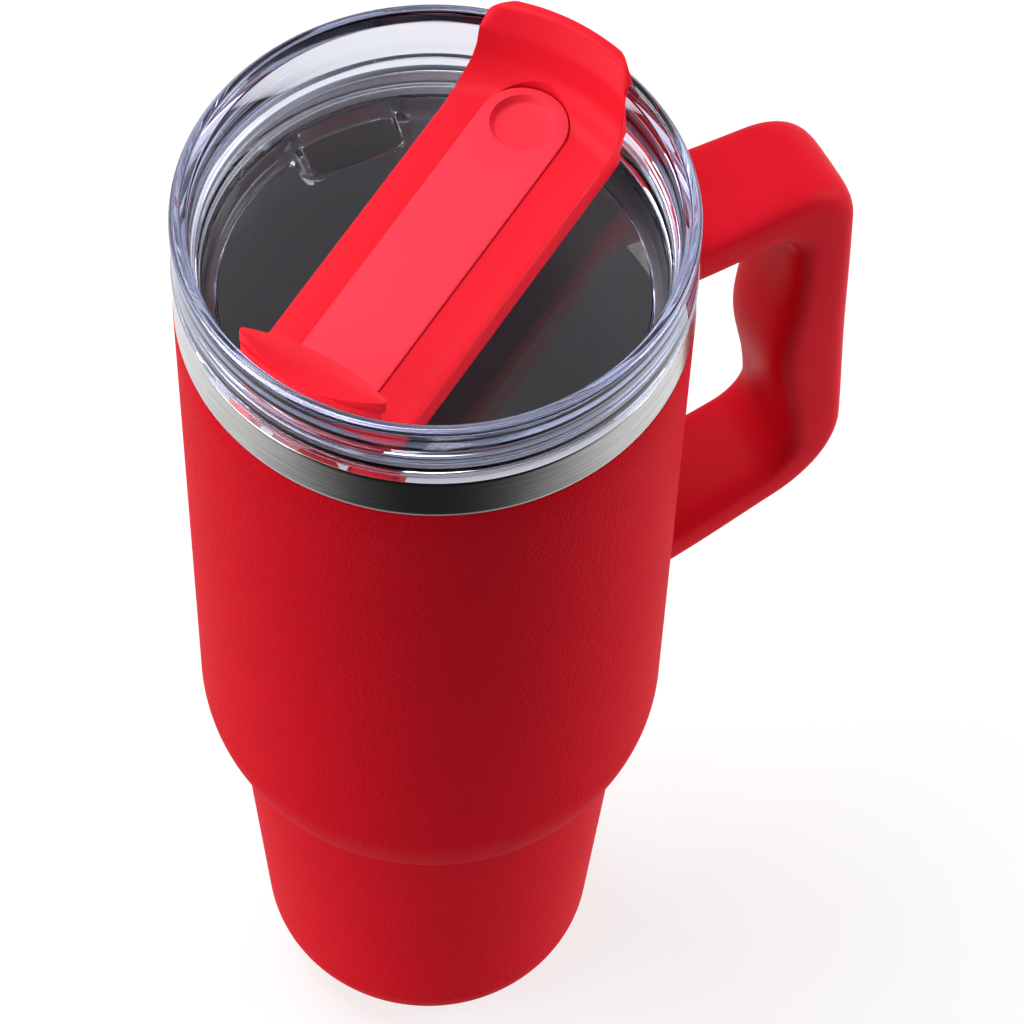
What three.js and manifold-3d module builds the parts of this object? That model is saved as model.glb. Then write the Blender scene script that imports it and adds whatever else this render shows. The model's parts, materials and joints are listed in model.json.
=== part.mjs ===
// Vacuum-insulated steel travel mug with a side handle and a clear push-in lid.
// The lid carries a rotating cover bar for the sip opening, and a slider in the bar for the straw hole.
// Millimetres, +Z up. The origin is on the mug's axis, in the plane it rests on. The handle is along +X.
import * as THREE from "three";
import { mergeVertices } from "three/addons/utils/BufferGeometryUtils.js";
import Module from "manifold-3d";

const wasm = await Module();
wasm.setup();

// ---------------------------------------------------------------- driving dimensions

const GAP = 0.3; // between pieces that touch in the real mug
const ROUND = 32; // facets of the large round pieces
const SMALL_ROUND = 20; // facets of pins, holes and the pivot
const SCREW_ROUND = 12; // facets of screws and their caps
const FINE_ROUND = 96; // facets of the wide curve that cuts the end tab
const SHEET = 0.6; // steel sheet of the shell, liner and base
const COAT = 0.35; // powder coat
const STEPS = { shoulder: 5, corner: 4, handle: 6, palm: 5, grip: 11, edge: 3, sweep: 5 }; // per arc

// Outside of the mug: base corner, slim lower cone, shoulder, upper cone, bare steel band.
const CONE = { footRadius: 34.6, slope: 0.0889 };
const CORNER = { r: 19.05, z: 17, radius: 17 };
const SHOULDER = { r: 18.5, z: 104.65, radius: 31.3 };
const UPPER = { bottomRadius: 49.8, bottomZ: 104.9, topRadius: 53.1, topZ: 234.6 };
const RIM_Z = 246.1;
const RIM_CHAMFER = 0.6;
const FOOT_EDGE = 27.7; // radius where the shell and its coat end under the mug

// Depths below the coat's outer surface.
const SHELL_DEPTH = COAT + GAP;
const LINER_DEPTH = 3.85;
const FOIL = { depth: 3.2, thickness: 0.3, bottomZ: 34, topZ: 222 };
const LINER_RAISE = 6; // height of the liner's floor above the shell's own corner
const MOUTH = { radius: 50.6, bottomZ: 232, flareZ: 243.6, flareTopZ: 245, flareRadius: 51.35 };
const NECK_Z = 224;

// Base: a pressed steel disc with a foot ring, an evacuation hole and a rubber pad.
const PAD = { radius: 23.2, thickness: 1.9, chamfer: 0.5 };
const BASE = { floorZ: 2.2, footZ: 0.4, footInner: 24.6, footOuter: 27.0, bend: 0.4 };
const BASE_LIP = { radius: 27.4, topZ: 3.7 };
const DIMPLE = { radius: 5, rise: 1.6, holeRadius: 1, skirt: 1.5 };
const SOLDER = { tipRadius: 2.6, tipRise: 0.15, radius: 4.4, edgeRise: 0.7 };
const GETTER = { inner: 8, outer: 12, height: 4, sheet: 1.2 };

// Handle, seen from the side: x is the distance from the mug's axis.
const HANDLE = {
  width: 24.6,
  edge: 5,
  root: 46,
  topZ: 232.6,
  topThickness: 13.7,
  grip: 94.0,
  gripLean: 1.2,
  gripThickness: 14.3,
  lowerZ: 118.4,
  lowerSlope: 0.28,
  lowerThickness: 11.4,
  topCorner: 14,
  bottomCorner: 22,
  innerTopCorner: 9,
  innerBottomCorner: 9,
  bumpHeight: 3.7,
  bumpZ: 173,
  bumpSpread: 17,
};
const REFERENCE_X = 54; // where topZ and lowerZ are taken
const SLEEVE = 2.2; // wall of the handle's soft cover
const SCREW_X = 62; // fixing screws' distance from the mug's axis
const TONGUE = { width: 13, thickness: 1.6, inward: 12, outward: 6 };
const SCREW = { radius: 1.5, holeRadius: 1.8, headRadius: 3.2, headHeight: 1.5, cover: 3 };
const CAP = { radius: 3.5, thickness: 0.95, recess: 0.05 };

// Lid.
const FLOOR = { topZ: 236.6, bottomZ: 234.2 };
const LID = { rimRadius: 53.45, skirtRadius: 53.3, seatZ: RIM_Z + GAP, topZ: 264, crest: 1.05 };
// Outline of the lid's plug under the gasket, [radius, height], from the floor outwards.
const PLUG = [
  [44.6, 234.2],
  [47.2, 235.3],
  [48.6, 237.8],
];
// Inside of the lid's wall, [radius, height], from the crest down to the floor's top.
const LID_INSIDE = [
  [51.6, 263.8],
  [50.9, 263.1],
  [49.9, 261.5],
  [49.0, 252.2],
  [48.6, 251.5],
  [47.4, 241.6],
  [46.8, 239.2],
  [45.7, 237.3],
  [44.2, 236.6],
];
const GROOVE = { bottomZ: 239.2, topZ: 242.8, radius: 48.4, lip: 49.7 };
const SIP = { azimuth: 86.9, inner: 36.4, outer: 46.4, halfWidth: 10.5, corner: 2 };
const RAMP = { halfAngle: 17, slope: 0.44, outer: 48 };
const STOP = { inner: 9.6, outer: 12.8, topZ: 239.4, clearanceAngle: 1 };
const GASKET = { waist: 0.5, lipHeight: 1.2, spacing: 1.8 };

// Cover bar, in its own frame: x runs along the bar towards its flared end.
const BAR = {
  angle: 30.9,
  minTurn: -33.5,
  maxTurn: 56,
  halfWidth: 18.2,
  endRadius: 47,
  topZ: 251,
  skirtZ: 244.7,
  undersideZ: 246.2,
  skirt: 1.8,
};
// The end tab stands a little to one side of the bar's middle, and so does the slider's channel.
const TAB = { radius: 47.6, halfWidth: 17.8, y: 1.9, chordX: -41, chordBulge: 52.5, inset: 1.2 };
const TAB_HEIGHTS = { footZ: 252.2, lipZ: 260.8, topZ: 263 };
// Flared end: crest and outer face, [distance from the axis, height], then the sweep down onto the plate.
const FLARE = [
  [47, 251.4],
  [48.5, 252.4],
  [48.9, 261.5],
  [50.0, 264.8],
  [51.2, 265.3],
  [53.2, 266.4],
  [53.7, 267.6],
  [53.2, 268.8],
  [52.0, 269.2],
  [50.6, 268.7],
  [49.2, 266.6],
  [48.1, 263],
];
// Front of the flared end: it narrows a little upwards and its crest is arched, with rounded corners.
const FLARE_FRONT = {
  narrowing: 1.1,
  narrowZ: 259,
  cornerZ: 268.3,
  corner: 3,
  middle: [7, 269],
  topZ: 269.3,
};
const SWEEP = { r: 39.8, radius: 7.6, headroomZ: 257 };
const HUB = { radius: 9, bottomZ: 237, stemRadius: 5.2, stemBottomZ: 232.3 };
const LUG = { radius: 12.4, angle: 24, topZ: 239.8 };
const PIVOT_HOLE = 5.5;
const STRAW = { x: 40.4, radius: 3.9 };
const CHANNEL = { floorZ: 247.9, ledgeZ: 249.5, halfWidth: 9.7, ledge: 1.4, endX: 36.2, y: 1.3 };
const SIP_SEAL = { inner: 35, outer: 46.8, halfWidth: 12, lift: 0.35, flangeDrop: 0.4 };

// Straw slider, in the bar's frame.
const SLIDER = {
  halfWidth: 9.4,
  tailX: -37.2,
  tailCorner: 2,
  topZ: 251.8,
  flange: 1.4,
  flangeThickness: 1,
  flangeTail: 4,
  flangeHead: 2,
};
const DISH = { x: 36.8, radius: 7, floorRadius: 4.6, middleRadius: 6, middleDepth: 0.8, depth: 1.5 };
const SEAL_PAD = { x: 38.6, radius: 5.8, thickness: 1.1 };
const PIVOT_CAP = { radius: 9.5, bottomZ: 229.6, topZ: 232, seat: 1, chamfer: 0.8 };
const PIVOT_SCREW = { radius: 1.1, headRadius: 2.8, headHeight: 0.9, topZ: 240 };
const PIVOT_RING = { thickness: 0.8, radius: 6.45 };

// ---------------------------------------------------------------- shape helpers

const DEG = Math.PI / 180;

// A closed geometry as a manifold-3d solid.
function solid(geometry) {
  const bare = geometry.clone();
  bare.deleteAttribute("normal");
  bare.deleteAttribute("uv");
  const merged = mergeVertices(bare, 1e-4);
  return new wasm.Manifold(
    new wasm.Mesh({
      numProp: 3,
      vertProperties: merged.attributes.position.array,
      triVerts: new Uint32Array(merged.index.array),
    }),
  );
}

// A manifold-3d solid as a three.js geometry.
function geometryOf(body) {
  const mesh = body.getMesh();
  const geometry = new THREE.BufferGeometry();
  geometry.setAttribute("position", new THREE.BufferAttribute(mesh.vertProperties, 3));
  geometry.setIndex(new THREE.BufferAttribute(mesh.triVerts, 1));
  geometry.computeVertexNormals();
  return geometry;
}

// A profile of [radius, height] points, counter-clockwise with the axis at the left, turned about Z.
// A profile that is off the axis closes on itself.
function turned(profile, facets = ROUND) {
  const points = profile.map(([r, z]) => new THREE.Vector2(r, z));
  if (profile[0][0] > 0) points.push(points[0].clone());
  return new THREE.LatheGeometry(points, facets).rotateX(Math.PI / 2);
}

function arc(centreR, centreZ, radius, fromDegrees, toDegrees, steps) {
  return Array.from({ length: steps + 1 }, (_, i) => {
    const angle = (fromDegrees + ((toDegrees - fromDegrees) * i) / steps) * DEG;
    return [centreR + radius * Math.cos(angle), centreZ + radius * Math.sin(angle)];
  });
}

function cylinder(radius, z0, z1, x = 0, facets = SMALL_ROUND) {
  const geometry = new THREE.CylinderGeometry(radius, radius, z1 - z0, facets);
  return geometry.rotateX(Math.PI / 2).translate(x, 0, (z0 + z1) / 2);
}

function block(x0, x1, halfWidth, z0, z1) {
  const geometry = new THREE.BoxGeometry(x1 - x0, 2 * halfWidth, z1 - z0);
  return geometry.translate((x0 + x1) / 2, 0, (z0 + z1) / 2);
}

// An outline of [x, y] points in plan, raised from z0 to z1.
function raised(outline, z0, z1) {
  const shape = new THREE.Shape(outline.map(([x, y]) => new THREE.Vector2(x, y)));
  const geometry = new THREE.ExtrudeGeometry(shape, { depth: z1 - z0, bevelEnabled: false });
  return geometry.translate(0, 0, z0);
}

// A part of a ring in plan, between two angles in degrees.
function sector(inner, outer, from, to, z0, z1) {
  const steps = Math.max(2, Math.ceil((to - from) / 10));
  const outline = [...arc(0, 0, outer, from, to, steps), ...arc(0, 0, inner, to, from, steps)];
  return raised(outline, z0, z1);
}

// A strip along X with both ends on a circle about the axis.
function strip(radius, halfWidth) {
  const half = Math.asin(halfWidth / radius) / DEG;
  return [...arc(0, 0, radius, -half, half, 8), ...arc(0, 0, radius, 180 - half, 180 + half, 8)];
}

// The points of a polyline with its inner corners rounded.
function rounded(corners, radii, steps) {
  const vectors = corners.map(([x, y]) => new THREE.Vector2(x, y));
  const points = [corners[0]];
  radii.forEach((radius, i) => {
    const [before, corner, after] = vectors.slice(i, i + 3);
    const u = before.clone().sub(corner).normalize();
    const v = after.clone().sub(corner).normalize();
    const reach = radius / Math.tan(Math.acos(u.dot(v)) / 2);
    const middle = u.clone().add(v).normalize();
    const centre = corner.clone().addScaledVector(middle, Math.hypot(reach, radius));
    const start = corner.clone().addScaledVector(u, reach).sub(centre);
    const turn = Math.atan2(start.cross(corner.clone().addScaledVector(v, reach).sub(centre)), 0);
    const sweep = Math.sign(turn) * (Math.PI - Math.acos(u.dot(v)));
    for (let k = 0; k <= steps; k++) {
      const spoke = start.clone().rotateAround(new THREE.Vector2(), (sweep * k) / steps);
      points.push([centre.x + spoke.x, centre.y + spoke.y]);
    }
  });
  points.push(corners.at(-1));
  return points;
}

const both = (first, ...others) => others.reduce((sum, next) => sum.add(next), first);
const without = (first, ...cuts) => cuts.reduce((rest, cut) => rest.subtract(cut), first);

// ---------------------------------------------------------------- materials

function material(color, roughness, metalness, extra = {}) {
  return new THREE.MeshStandardMaterial({ color, roughness, metalness, ...extra });
}

const STEEL = material(0xb4b2b0, 0.32, 1);
const RED_COAT = material(0xc81e30, 0.6, 0);
const COPPER = material(0xb87346, 0.35, 1);
const GETTER_METAL = material(0x6f6c68, 0.5, 1);
const GLASS_SOLDER = material(0x3c3f42, 0.25, 0);
const RUBBER = material(0x26262a, 0.85, 0);
const CORE_PLASTIC = material(0x8e1a24, 0.6, 0);
const HANDLE_RED = material(0xd0202f, 0.45, 0);
const CLEAR_PLASTIC = material(0xc3cbe0, 0.08, 0, { transparent: true, opacity: 0.35 });
const CLEAR_SILICONE = material(0xe2e2e0, 0.6, 0);
const BAR_RED = material(0xe32236, 0.4, 0);
const SLIDER_RED = material(0xff4656, 0.4, 0);
const SEAL_RED = material(0xa51422, 0.7, 0);

// ---------------------------------------------------------------- outline of the mug's wall

const upperRadius = (z) => {
  const slope = (UPPER.topRadius - UPPER.bottomRadius) / (UPPER.topZ - UPPER.bottomZ);
  return UPPER.bottomRadius + slope * (z - UPPER.bottomZ);
};
const lowerRadius = (z) => CONE.footRadius + CONE.slope * z;
const shoulderRadius = (z, depth) =>
  SHOULDER.r + Math.sqrt((SHOULDER.radius - depth) ** 2 - (z - SHOULDER.z) ** 2);

// Height of the crease between the lower cone and the shoulder, on the surface at a depth.
function creaseZ(depth) {
  let low = SHOULDER.z - 24;
  let high = SHOULDER.z - 14;
  for (let i = 0; i < 40; i++) {
    const middle = (low + high) / 2;
    if (shoulderRadius(middle, depth) < lowerRadius(middle) - depth) low = middle;
    else high = middle;
  }
  return low;
}

// The wall above the base corner at a depth below the coat's surface, from the base corner's end to topZ.
function wall(depth, topZ) {
  const crease = creaseZ(depth);
  const start = Math.asin((crease - SHOULDER.z) / (SHOULDER.radius - depth)) / DEG;
  const shoulder = arc(SHOULDER.r, SHOULDER.z, SHOULDER.radius - depth, start, 0, STEPS.shoulder);
  return [...shoulder, [upperRadius(topZ) - depth, topZ]];
}

// The base corner at a depth, from the given radius outwards.
function corner(depth, fromRadius, raise = 0) {
  const radius = CORNER.radius - depth;
  const start = -Math.acos((fromRadius - CORNER.r) / radius) / DEG;
  return arc(CORNER.r, CORNER.z + raise, radius, start, -Math.atan(CONE.slope) / DEG, STEPS.corner);
}

const bodyEnvelope = (depth, topZ) =>
  solid(turned([[0, 0], [CORNER.r, 0], ...corner(depth, CORNER.r), ...wall(depth, topZ), [0, topZ]]));

// ---------------------------------------------------------------- vacuum body

function outerShell() {
  const inside = SHELL_DEPTH + SHEET;
  const bandBottom = UPPER.topZ + 0.25;
  const bandRadius = UPPER.topRadius - 0.05;
  return turned([
    ...corner(SHELL_DEPTH, FOOT_EDGE),
    ...wall(SHELL_DEPTH, UPPER.topZ),
    [bandRadius, bandBottom],
    [bandRadius, RIM_Z - RIM_CHAMFER],
    [bandRadius - RIM_CHAMFER / 2, RIM_Z],
    [bandRadius - SHEET, RIM_Z],
    [bandRadius - SHEET, bandBottom],
    ...wall(inside, UPPER.topZ - 2).reverse(),
    ...corner(inside, FOOT_EDGE).reverse(),
  ]);
}

function powderCoat() {
  const outside = [...corner(0, FOOT_EDGE), ...wall(0, UPPER.topZ)];
  const inside = [...corner(COAT, FOOT_EDGE), ...wall(COAT, UPPER.topZ)];
  return solid(turned([...outside, ...inside.reverse()]));
}

function innerLiner() {
  const neck = (inset) => [
    [MOUTH.radius + SHEET - inset, MOUTH.bottomZ],
    [MOUTH.radius + SHEET - inset, MOUTH.flareZ],
    [MOUTH.flareRadius + SHEET - inset, MOUTH.flareTopZ],
    [MOUTH.flareRadius + SHEET - inset, RIM_Z],
  ];
  const surface = (depth, inset) => [
    ...corner(depth, CORNER.r, LINER_RAISE),
    ...wall(depth, NECK_Z),
    ...neck(inset),
  ];
  const floorZ = CORNER.z + LINER_RAISE - CORNER.radius + LINER_DEPTH;
  return turned([
    [0, floorZ],
    ...surface(LINER_DEPTH, 0),
    ...surface(LINER_DEPTH + SHEET, SHEET).reverse(),
    [0, floorZ + SHEET],
  ]);
}

function copperFoil() {
  const surface = (depth) => [
    [lowerRadius(FOIL.bottomZ) - depth, FOIL.bottomZ],
    ...wall(depth, FOIL.topZ),
  ];
  return turned([...surface(FOIL.depth), ...surface(FOIL.depth + FOIL.thickness).reverse()]);
}

function outerBase() {
  const dimpleZ = BASE.floorZ + DIMPLE.rise;
  const floorTop = BASE.floorZ + SHEET;
  return turned([
    [DIMPLE.holeRadius, dimpleZ],
    [DIMPLE.radius, dimpleZ],
    [DIMPLE.radius + DIMPLE.skirt, BASE.floorZ],
    [BASE.footInner - 1, BASE.floorZ],
    [BASE.footInner, BASE.footZ],
    [BASE.footOuter, BASE.footZ],
    [BASE_LIP.radius, BASE.footZ + BASE.bend],
    [BASE_LIP.radius, BASE_LIP.topZ],
    [BASE_LIP.radius - SHEET, BASE_LIP.topZ],
    [BASE_LIP.radius - SHEET, BASE.footZ + SHEET],
    [BASE.footInner + BASE.bend, BASE.footZ + SHEET],
    [BASE.footInner + BASE.bend - 1, floorTop],
    [DIMPLE.radius + DIMPLE.skirt + BASE.bend, floorTop],
    [DIMPLE.radius + BASE.bend, dimpleZ + SHEET],
    [DIMPLE.holeRadius, dimpleZ + SHEET],
  ]);
}

function basePad() {
  const { radius, thickness, chamfer } = PAD;
  return turned([[0, 0], [radius - chamfer, 0], [radius, chamfer], [radius, thickness], [0, thickness]]);
}

function vacuumSeal() {
  const bottom = PAD.thickness + GAP;
  const top = BASE.floorZ + DIMPLE.rise - GAP;
  const { tipRadius, tipRise, radius, edgeRise } = SOLDER;
  const face = [[tipRadius, bottom + tipRise], [radius, bottom + edgeRise]];
  return turned([[0, bottom], ...face, [radius, top], [0, top]], SMALL_ROUND);
}

function getterRing() {
  const bottom = BASE.floorZ + SHEET + GAP;
  const { inner, outer, height, sheet } = GETTER;
  return turned(
    [
      [inner, bottom],
      [outer, bottom],
      [outer, bottom + height],
      [outer - sheet, bottom + height],
      [outer - sheet, bottom + sheet],
      [inner, bottom + sheet],
    ],
    SMALL_ROUND,
  );
}

// ---------------------------------------------------------------- handle

// Side outline of the handle with its whole surface moved inwards by an inset.
function handleOutline(inset) {
  const h = HANDLE;
  const tilt = Math.hypot(1, h.lowerSlope);
  const lower = (x) => h.lowerZ + h.lowerSlope * (x - REFERENCE_X);
  const gripX = h.grip - inset;
  const gripLowX = gripX + h.gripLean;
  const top = h.topZ - inset;
  const under = h.topZ - h.topThickness + inset;
  const palm = h.grip - h.gripThickness + inset;
  const palmLow = palm + h.gripLean;
  const underside = (x) => lower(x) + inset * tilt;
  const outer = rounded(
    [[h.root, top], [gripX, top], [gripLowX, underside(gripLowX)], [h.root, underside(h.root)]],
    [h.topCorner - inset, h.bottomCorner - inset],
    STEPS.handle,
  );
  const shelf = (x) => lower(x) + h.lowerThickness - inset * tilt;
  const window = rounded(
    [[h.root, shelf(h.root)], [palmLow, shelf(palmLow)], [palm, under], [h.root, under]],
    [h.innerBottomCorner + inset, h.innerTopCorner + inset],
    STEPS.palm,
  );
  return [...outer, ...withFingerBump(window, inset)];
}

// The palm side of the grip swells towards the mug between the fingers.
function withFingerBump(window, inset) {
  const { bumpHeight, bumpZ, bumpSpread, bottomCorner } = HANDLE;
  const bump = (z) => bumpHeight * Math.exp(-(((z - bumpZ) / bumpSpread) ** 2));
  const split = STEPS.palm + 1;
  const low = window[split];
  const high = window[split + 1];
  const grip = Array.from({ length: STEPS.grip }, (_, i) => {
    const t = (i + 1) / (STEPS.grip + 1);
    return [low[0] + (high[0] - low[0]) * t, low[1] + (high[1] - low[1]) * t];
  });
  const palmEdge = HANDLE.grip - HANDLE.gripThickness + inset - bottomCorner;
  return [...window.slice(0, split + 1), ...grip, ...window.slice(split + 1)].map(([x, z]) =>
    x > palmEdge ? [x - bump(z) * Math.min(1, (x - palmEdge) / bottomCorner), z] : [x, z],
  );
}

function handleSolid(inset) {
  const shape = new THREE.Shape(handleOutline(inset).map(([x, z]) => new THREE.Vector2(x, z)));
  const edge = HANDLE.edge - inset;
  const depth = HANDLE.width - 2 * HANDLE.edge;
  const geometry = new THREE.ExtrudeGeometry(shape, {
    depth,
    bevelThickness: edge,
    bevelSize: edge,
    bevelOffset: -edge,
    bevelSegments: STEPS.edge,
  });
  return solid(geometry.translate(0, 0, -depth / 2).rotateX(Math.PI / 2));
}

// Screw, cap, bracket tongue and their pockets, in the frame of one arm:
// the screw's axis is Z, X runs outwards along the arm, and z = 0 is the arm's middle.
function armFixing(thickness, tilt, z) {
  const underside = -thickness / 2;
  const capTop = underside + CAP.thickness;
  const headBottom = capTop + GAP;
  const headTop = headBottom + SCREW.headHeight;
  const place = (geometry) => solid(geometry.rotateY(-tilt).translate(SCREW_X, 0, z));
  const tongueSize = (spare) => [
    -TONGUE.inward,
    TONGUE.outward + spare,
    TONGUE.width / 2 + spare,
    -TONGUE.thickness / 2 - spare,
    TONGUE.thickness / 2 + spare,
  ];
  const rod = (radius, z0, z1) => place(cylinder(radius, z0, z1, 0, SCREW_ROUND));
  const hole = rod(SCREW.holeRadius, -thickness, thickness);
  const head = rod(SCREW.headRadius, headBottom, headTop);
  const thread = rod(SCREW.radius, headBottom, thickness / 2 - SCREW.cover);
  return {
    hole,
    pocket: place(block(...tongueSize(GAP))),
    counterbore: rod(CAP.radius, underside, headTop + GAP),
    capHole: rod(CAP.radius + GAP, underside - SLEEVE, underside + SLEEVE + 2 * GAP),
    tongue: without(place(block(...tongueSize(0))), hole),
    screw: both(head, thread),
    cap: rod(CAP.radius, underside + CAP.recess, capTop),
  };
}

const lowerTilt = Math.atan(HANDLE.lowerSlope);
const lowerArmRise = HANDLE.lowerSlope * (SCREW_X - REFERENCE_X);
const lowerArmZ = HANDLE.lowerZ + lowerArmRise + HANDLE.lowerThickness / 2;
const FIXINGS = {
  upper: armFixing(HANDLE.topThickness, 0, HANDLE.topZ - HANDLE.topThickness / 2),
  lower: armFixing(HANDLE.lowerThickness * Math.cos(lowerTilt), lowerTilt, lowerArmZ),
};
const fixings = Object.values(FIXINGS);

const handleCover = () =>
  without(handleSolid(0), handleSolid(SLEEVE), bodyEnvelope(-GAP, RIM_Z), ...fixings.map((f) => f.capHole));

const handleCore = () =>
  without(
    handleSolid(SLEEVE + GAP),
    bodyEnvelope(-GAP, RIM_Z),
    ...fixings.flatMap((f) => [f.pocket, f.hole, f.counterbore]),
  );

// ---------------------------------------------------------------- lid

function lidBody() {
  const { rimRadius, skirtRadius, seatZ, topZ, crest } = LID;
  const shell = turned([
    [0, FLOOR.bottomZ],
    ...PLUG,
    [GROOVE.lip, GROOVE.bottomZ - 0.4],
    [GROOVE.lip, GROOVE.bottomZ],
    [GROOVE.radius, GROOVE.bottomZ],
    [GROOVE.radius, GROOVE.topZ],
    [GROOVE.lip, GROOVE.topZ],
    [GROOVE.lip, seatZ],
    [skirtRadius - 0.4, seatZ],
    [skirtRadius, seatZ + 0.4],
    ...arc(rimRadius - crest, topZ - crest, crest, 0, 90, STEPS.edge),
    ...LID_INSIDE,
    [0, FLOOR.topZ],
  ]);
  const lugHalf = LUG.angle / 2 + STOP.clearanceAngle;
  const lugMiddle = BAR.angle + 90;
  const stopFrom = lugMiddle + BAR.maxTurn + lugHalf;
  const stopTo = lugMiddle + BAR.minTurn - lugHalf + 360;
  const stop = solid(sector(STOP.inner, STOP.outer, stopFrom, stopTo, FLOOR.topZ - 0.5, STOP.topZ));
  const pivotHole = solid(cylinder(PIVOT_HOLE, FLOOR.bottomZ - 1, FLOOR.topZ + 1));
  return without(both(solid(shell), sipRamp(), stop), sipOpening(), pivotHole);
}

// The floor rises like a spout towards the wall around the sip opening.
function sipRamp() {
  const { halfAngle, slope, outer } = RAMP;
  const foot = FLOOR.topZ - 1;
  const top = FLOOR.topZ + slope * (outer - SIP.inner);
  const ring = turned([[SIP.inner, foot], [outer, foot], [outer, top], [SIP.inner, FLOOR.topZ]]);
  const from = SIP.azimuth - halfAngle;
  const wedge = sector(SIP.inner - 4, outer + 2, from, from + 2 * halfAngle, foot - 1, top + 1);
  return solid(ring).intersect(solid(wedge));
}

function sipOpening() {
  const { inner, outer, halfWidth, corner: radius, azimuth } = SIP;
  const outline = [
    ...arc(inner + radius, -halfWidth + radius, radius, 270, 180, STEPS.edge),
    ...arc(inner + radius, halfWidth - radius, radius, 180, 90, STEPS.edge),
    [outer + 1, halfWidth],
    [outer + 1, -halfWidth],
  ].reverse();
  const prism = raised(outline, FLOOR.bottomZ - 1, FLOOR.topZ + 8);
  return solid(prism.rotateZ(azimuth * DEG)).intersect(bodyDisc(outer));
}

function lidGasket() {
  const root = GROOVE.radius + GAP;
  const lip = MOUTH.radius - GAP;
  const waist = lip - GASKET.waist;
  const bottom = GROOVE.bottomZ + GAP;
  const ridge = (z) => [[waist, z], [lip, z + GASKET.lipHeight / 2], [waist, z + GASKET.lipHeight]];
  const upper = bottom + GASKET.spacing;
  return turned([[root, bottom], ...ridge(bottom), ...ridge(upper), [root, upper + GASKET.lipHeight]]);
}

// ---------------------------------------------------------------- cover bar, in its own frame

function coverBar() {
  const plate = solid(raised(strip(BAR.endRadius, BAR.halfWidth), BAR.skirtZ, BAR.topZ));
  const hollow = strip(BAR.endRadius - BAR.skirt, BAR.halfWidth - BAR.skirt);
  const hub = cylinder(HUB.radius, HUB.bottomZ, BAR.undersideZ + 0.1);
  const stem = cylinder(HUB.stemRadius, HUB.stemBottomZ, HUB.bottomZ + 0.1);
  const from = 90 - LUG.angle / 2;
  const lug = sector(HUB.radius - 0.5, LUG.radius, from, from + LUG.angle, HUB.bottomZ, LUG.topZ);
  return without(
    both(
      without(plate, solid(raised(hollow, BAR.skirtZ - 1, BAR.undersideZ))),
      solid(hub),
      solid(stem),
      solid(lug),
      endTab(),
      flare(),
    ),
    sliderChannel(),
    strawHole(BAR.undersideZ - 1, CHANNEL.floorZ + 1),
    solid(cylinder(PIVOT_SCREW.radius + GAP, HUB.stemBottomZ - 1, PIVOT_SCREW.topZ + 0.6)),
  );
}

// The raised finger tab at the bar's plain end: part of a disc, cut by a slightly bulged chord.
function endTab() {
  const { radius, halfWidth, y, chordX, chordBulge, inset } = TAB;
  const { footZ, lipZ, topZ } = TAB_HEIGHTS;
  const lens = (edgeX, z0, z1) => {
    const disc = raised(strip(radius, halfWidth), z0, z1);
    const keep = cylinder(chordBulge, z0, z1, edgeX - chordBulge, FINE_ROUND);
    return solid(disc).intersect(solid(keep)).translate([0, y, 0]);
  };
  return both(
    lens(chordX - inset, BAR.topZ - 0.1, footZ).intersect(bodyDisc(BAR.endRadius)),
    lens(chordX - inset, footZ - 0.1, lipZ),
    lens(chordX, lipZ - 0.1, topZ),
  );
}

const bodyDisc = (radius) => solid(turned([[0, 230], [radius, 230], [radius, 270], [0, 270]]));

// The flared end sweeps up from the plate, rises along the lid's wall and leans out over the crest.
function flare() {
  const foot = BAR.topZ - 0.1;
  const sweep = arc(SWEEP.r, BAR.topZ + SWEEP.radius, SWEEP.radius, -5, -90, STEPS.sweep);
  const ring = turned([[SWEEP.r, foot], [BAR.endRadius, foot], ...FLARE, ...sweep]);
  const { narrowing, narrowZ, cornerZ, corner: radius, middle, topZ } = FLARE_FRONT;
  const edge = BAR.halfWidth - narrowing;
  const half = [
    [BAR.halfWidth, foot - 1],
    [BAR.halfWidth, BAR.topZ],
    [edge, narrowZ],
    ...arc(edge - radius, cornerZ - radius, radius, 0, 90, STEPS.edge),
    middle,
  ];
  const front = [...half, [0, topZ], ...half.map(([y, z]) => [-y, z]).reverse()];
  const window = raised(front, SWEEP.r - 10, SWEEP.r + 20).rotateX(Math.PI / 2).rotateZ(Math.PI / 2);
  return solid(ring).intersect(solid(window));
}

// The slider's channel with its undercut ledges, running out through the end tab.
function sliderChannel() {
  const { floorZ, ledgeZ, halfWidth, ledge, endX } = CHANNEL;
  const slotTop = SLIDER.topZ + GAP;
  const start = -TAB.radius - 2;
  return both(
    solid(raised(tongueOutline(start, endX, halfWidth, 0), floorZ, slotTop)),
    solid(raised(tongueOutline(0, endX, halfWidth, 0), floorZ, SWEEP.headroomZ)),
    solid(block(start, endX, halfWidth + ledge, floorZ, ledgeZ)),
  ).translate([0, CHANNEL.y, 0]);
}

const strawHole = (z0, z1) => solid(cylinder(STRAW.radius, z0, z1, STRAW.x).translate(0, CHANNEL.y, 0));

// A strip in plan from startX with a round end about endX, and optional corner rounding at its start.
function tongueOutline(startX, endX, halfWidth, cornerRadius) {
  const head = arc(endX, 0, halfWidth, -90, 90, 12);
  if (!cornerRadius) return [...head, [startX, halfWidth], [startX, -halfWidth]];
  const x = startX + cornerRadius;
  const y = halfWidth - cornerRadius;
  const tail = [[y, 90], [-y, 180]].flatMap(([centreY, from]) =>
    arc(x, centreY, cornerRadius, from, from + 90, STEPS.edge),
  );
  return [...head, ...tail];
}

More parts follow.
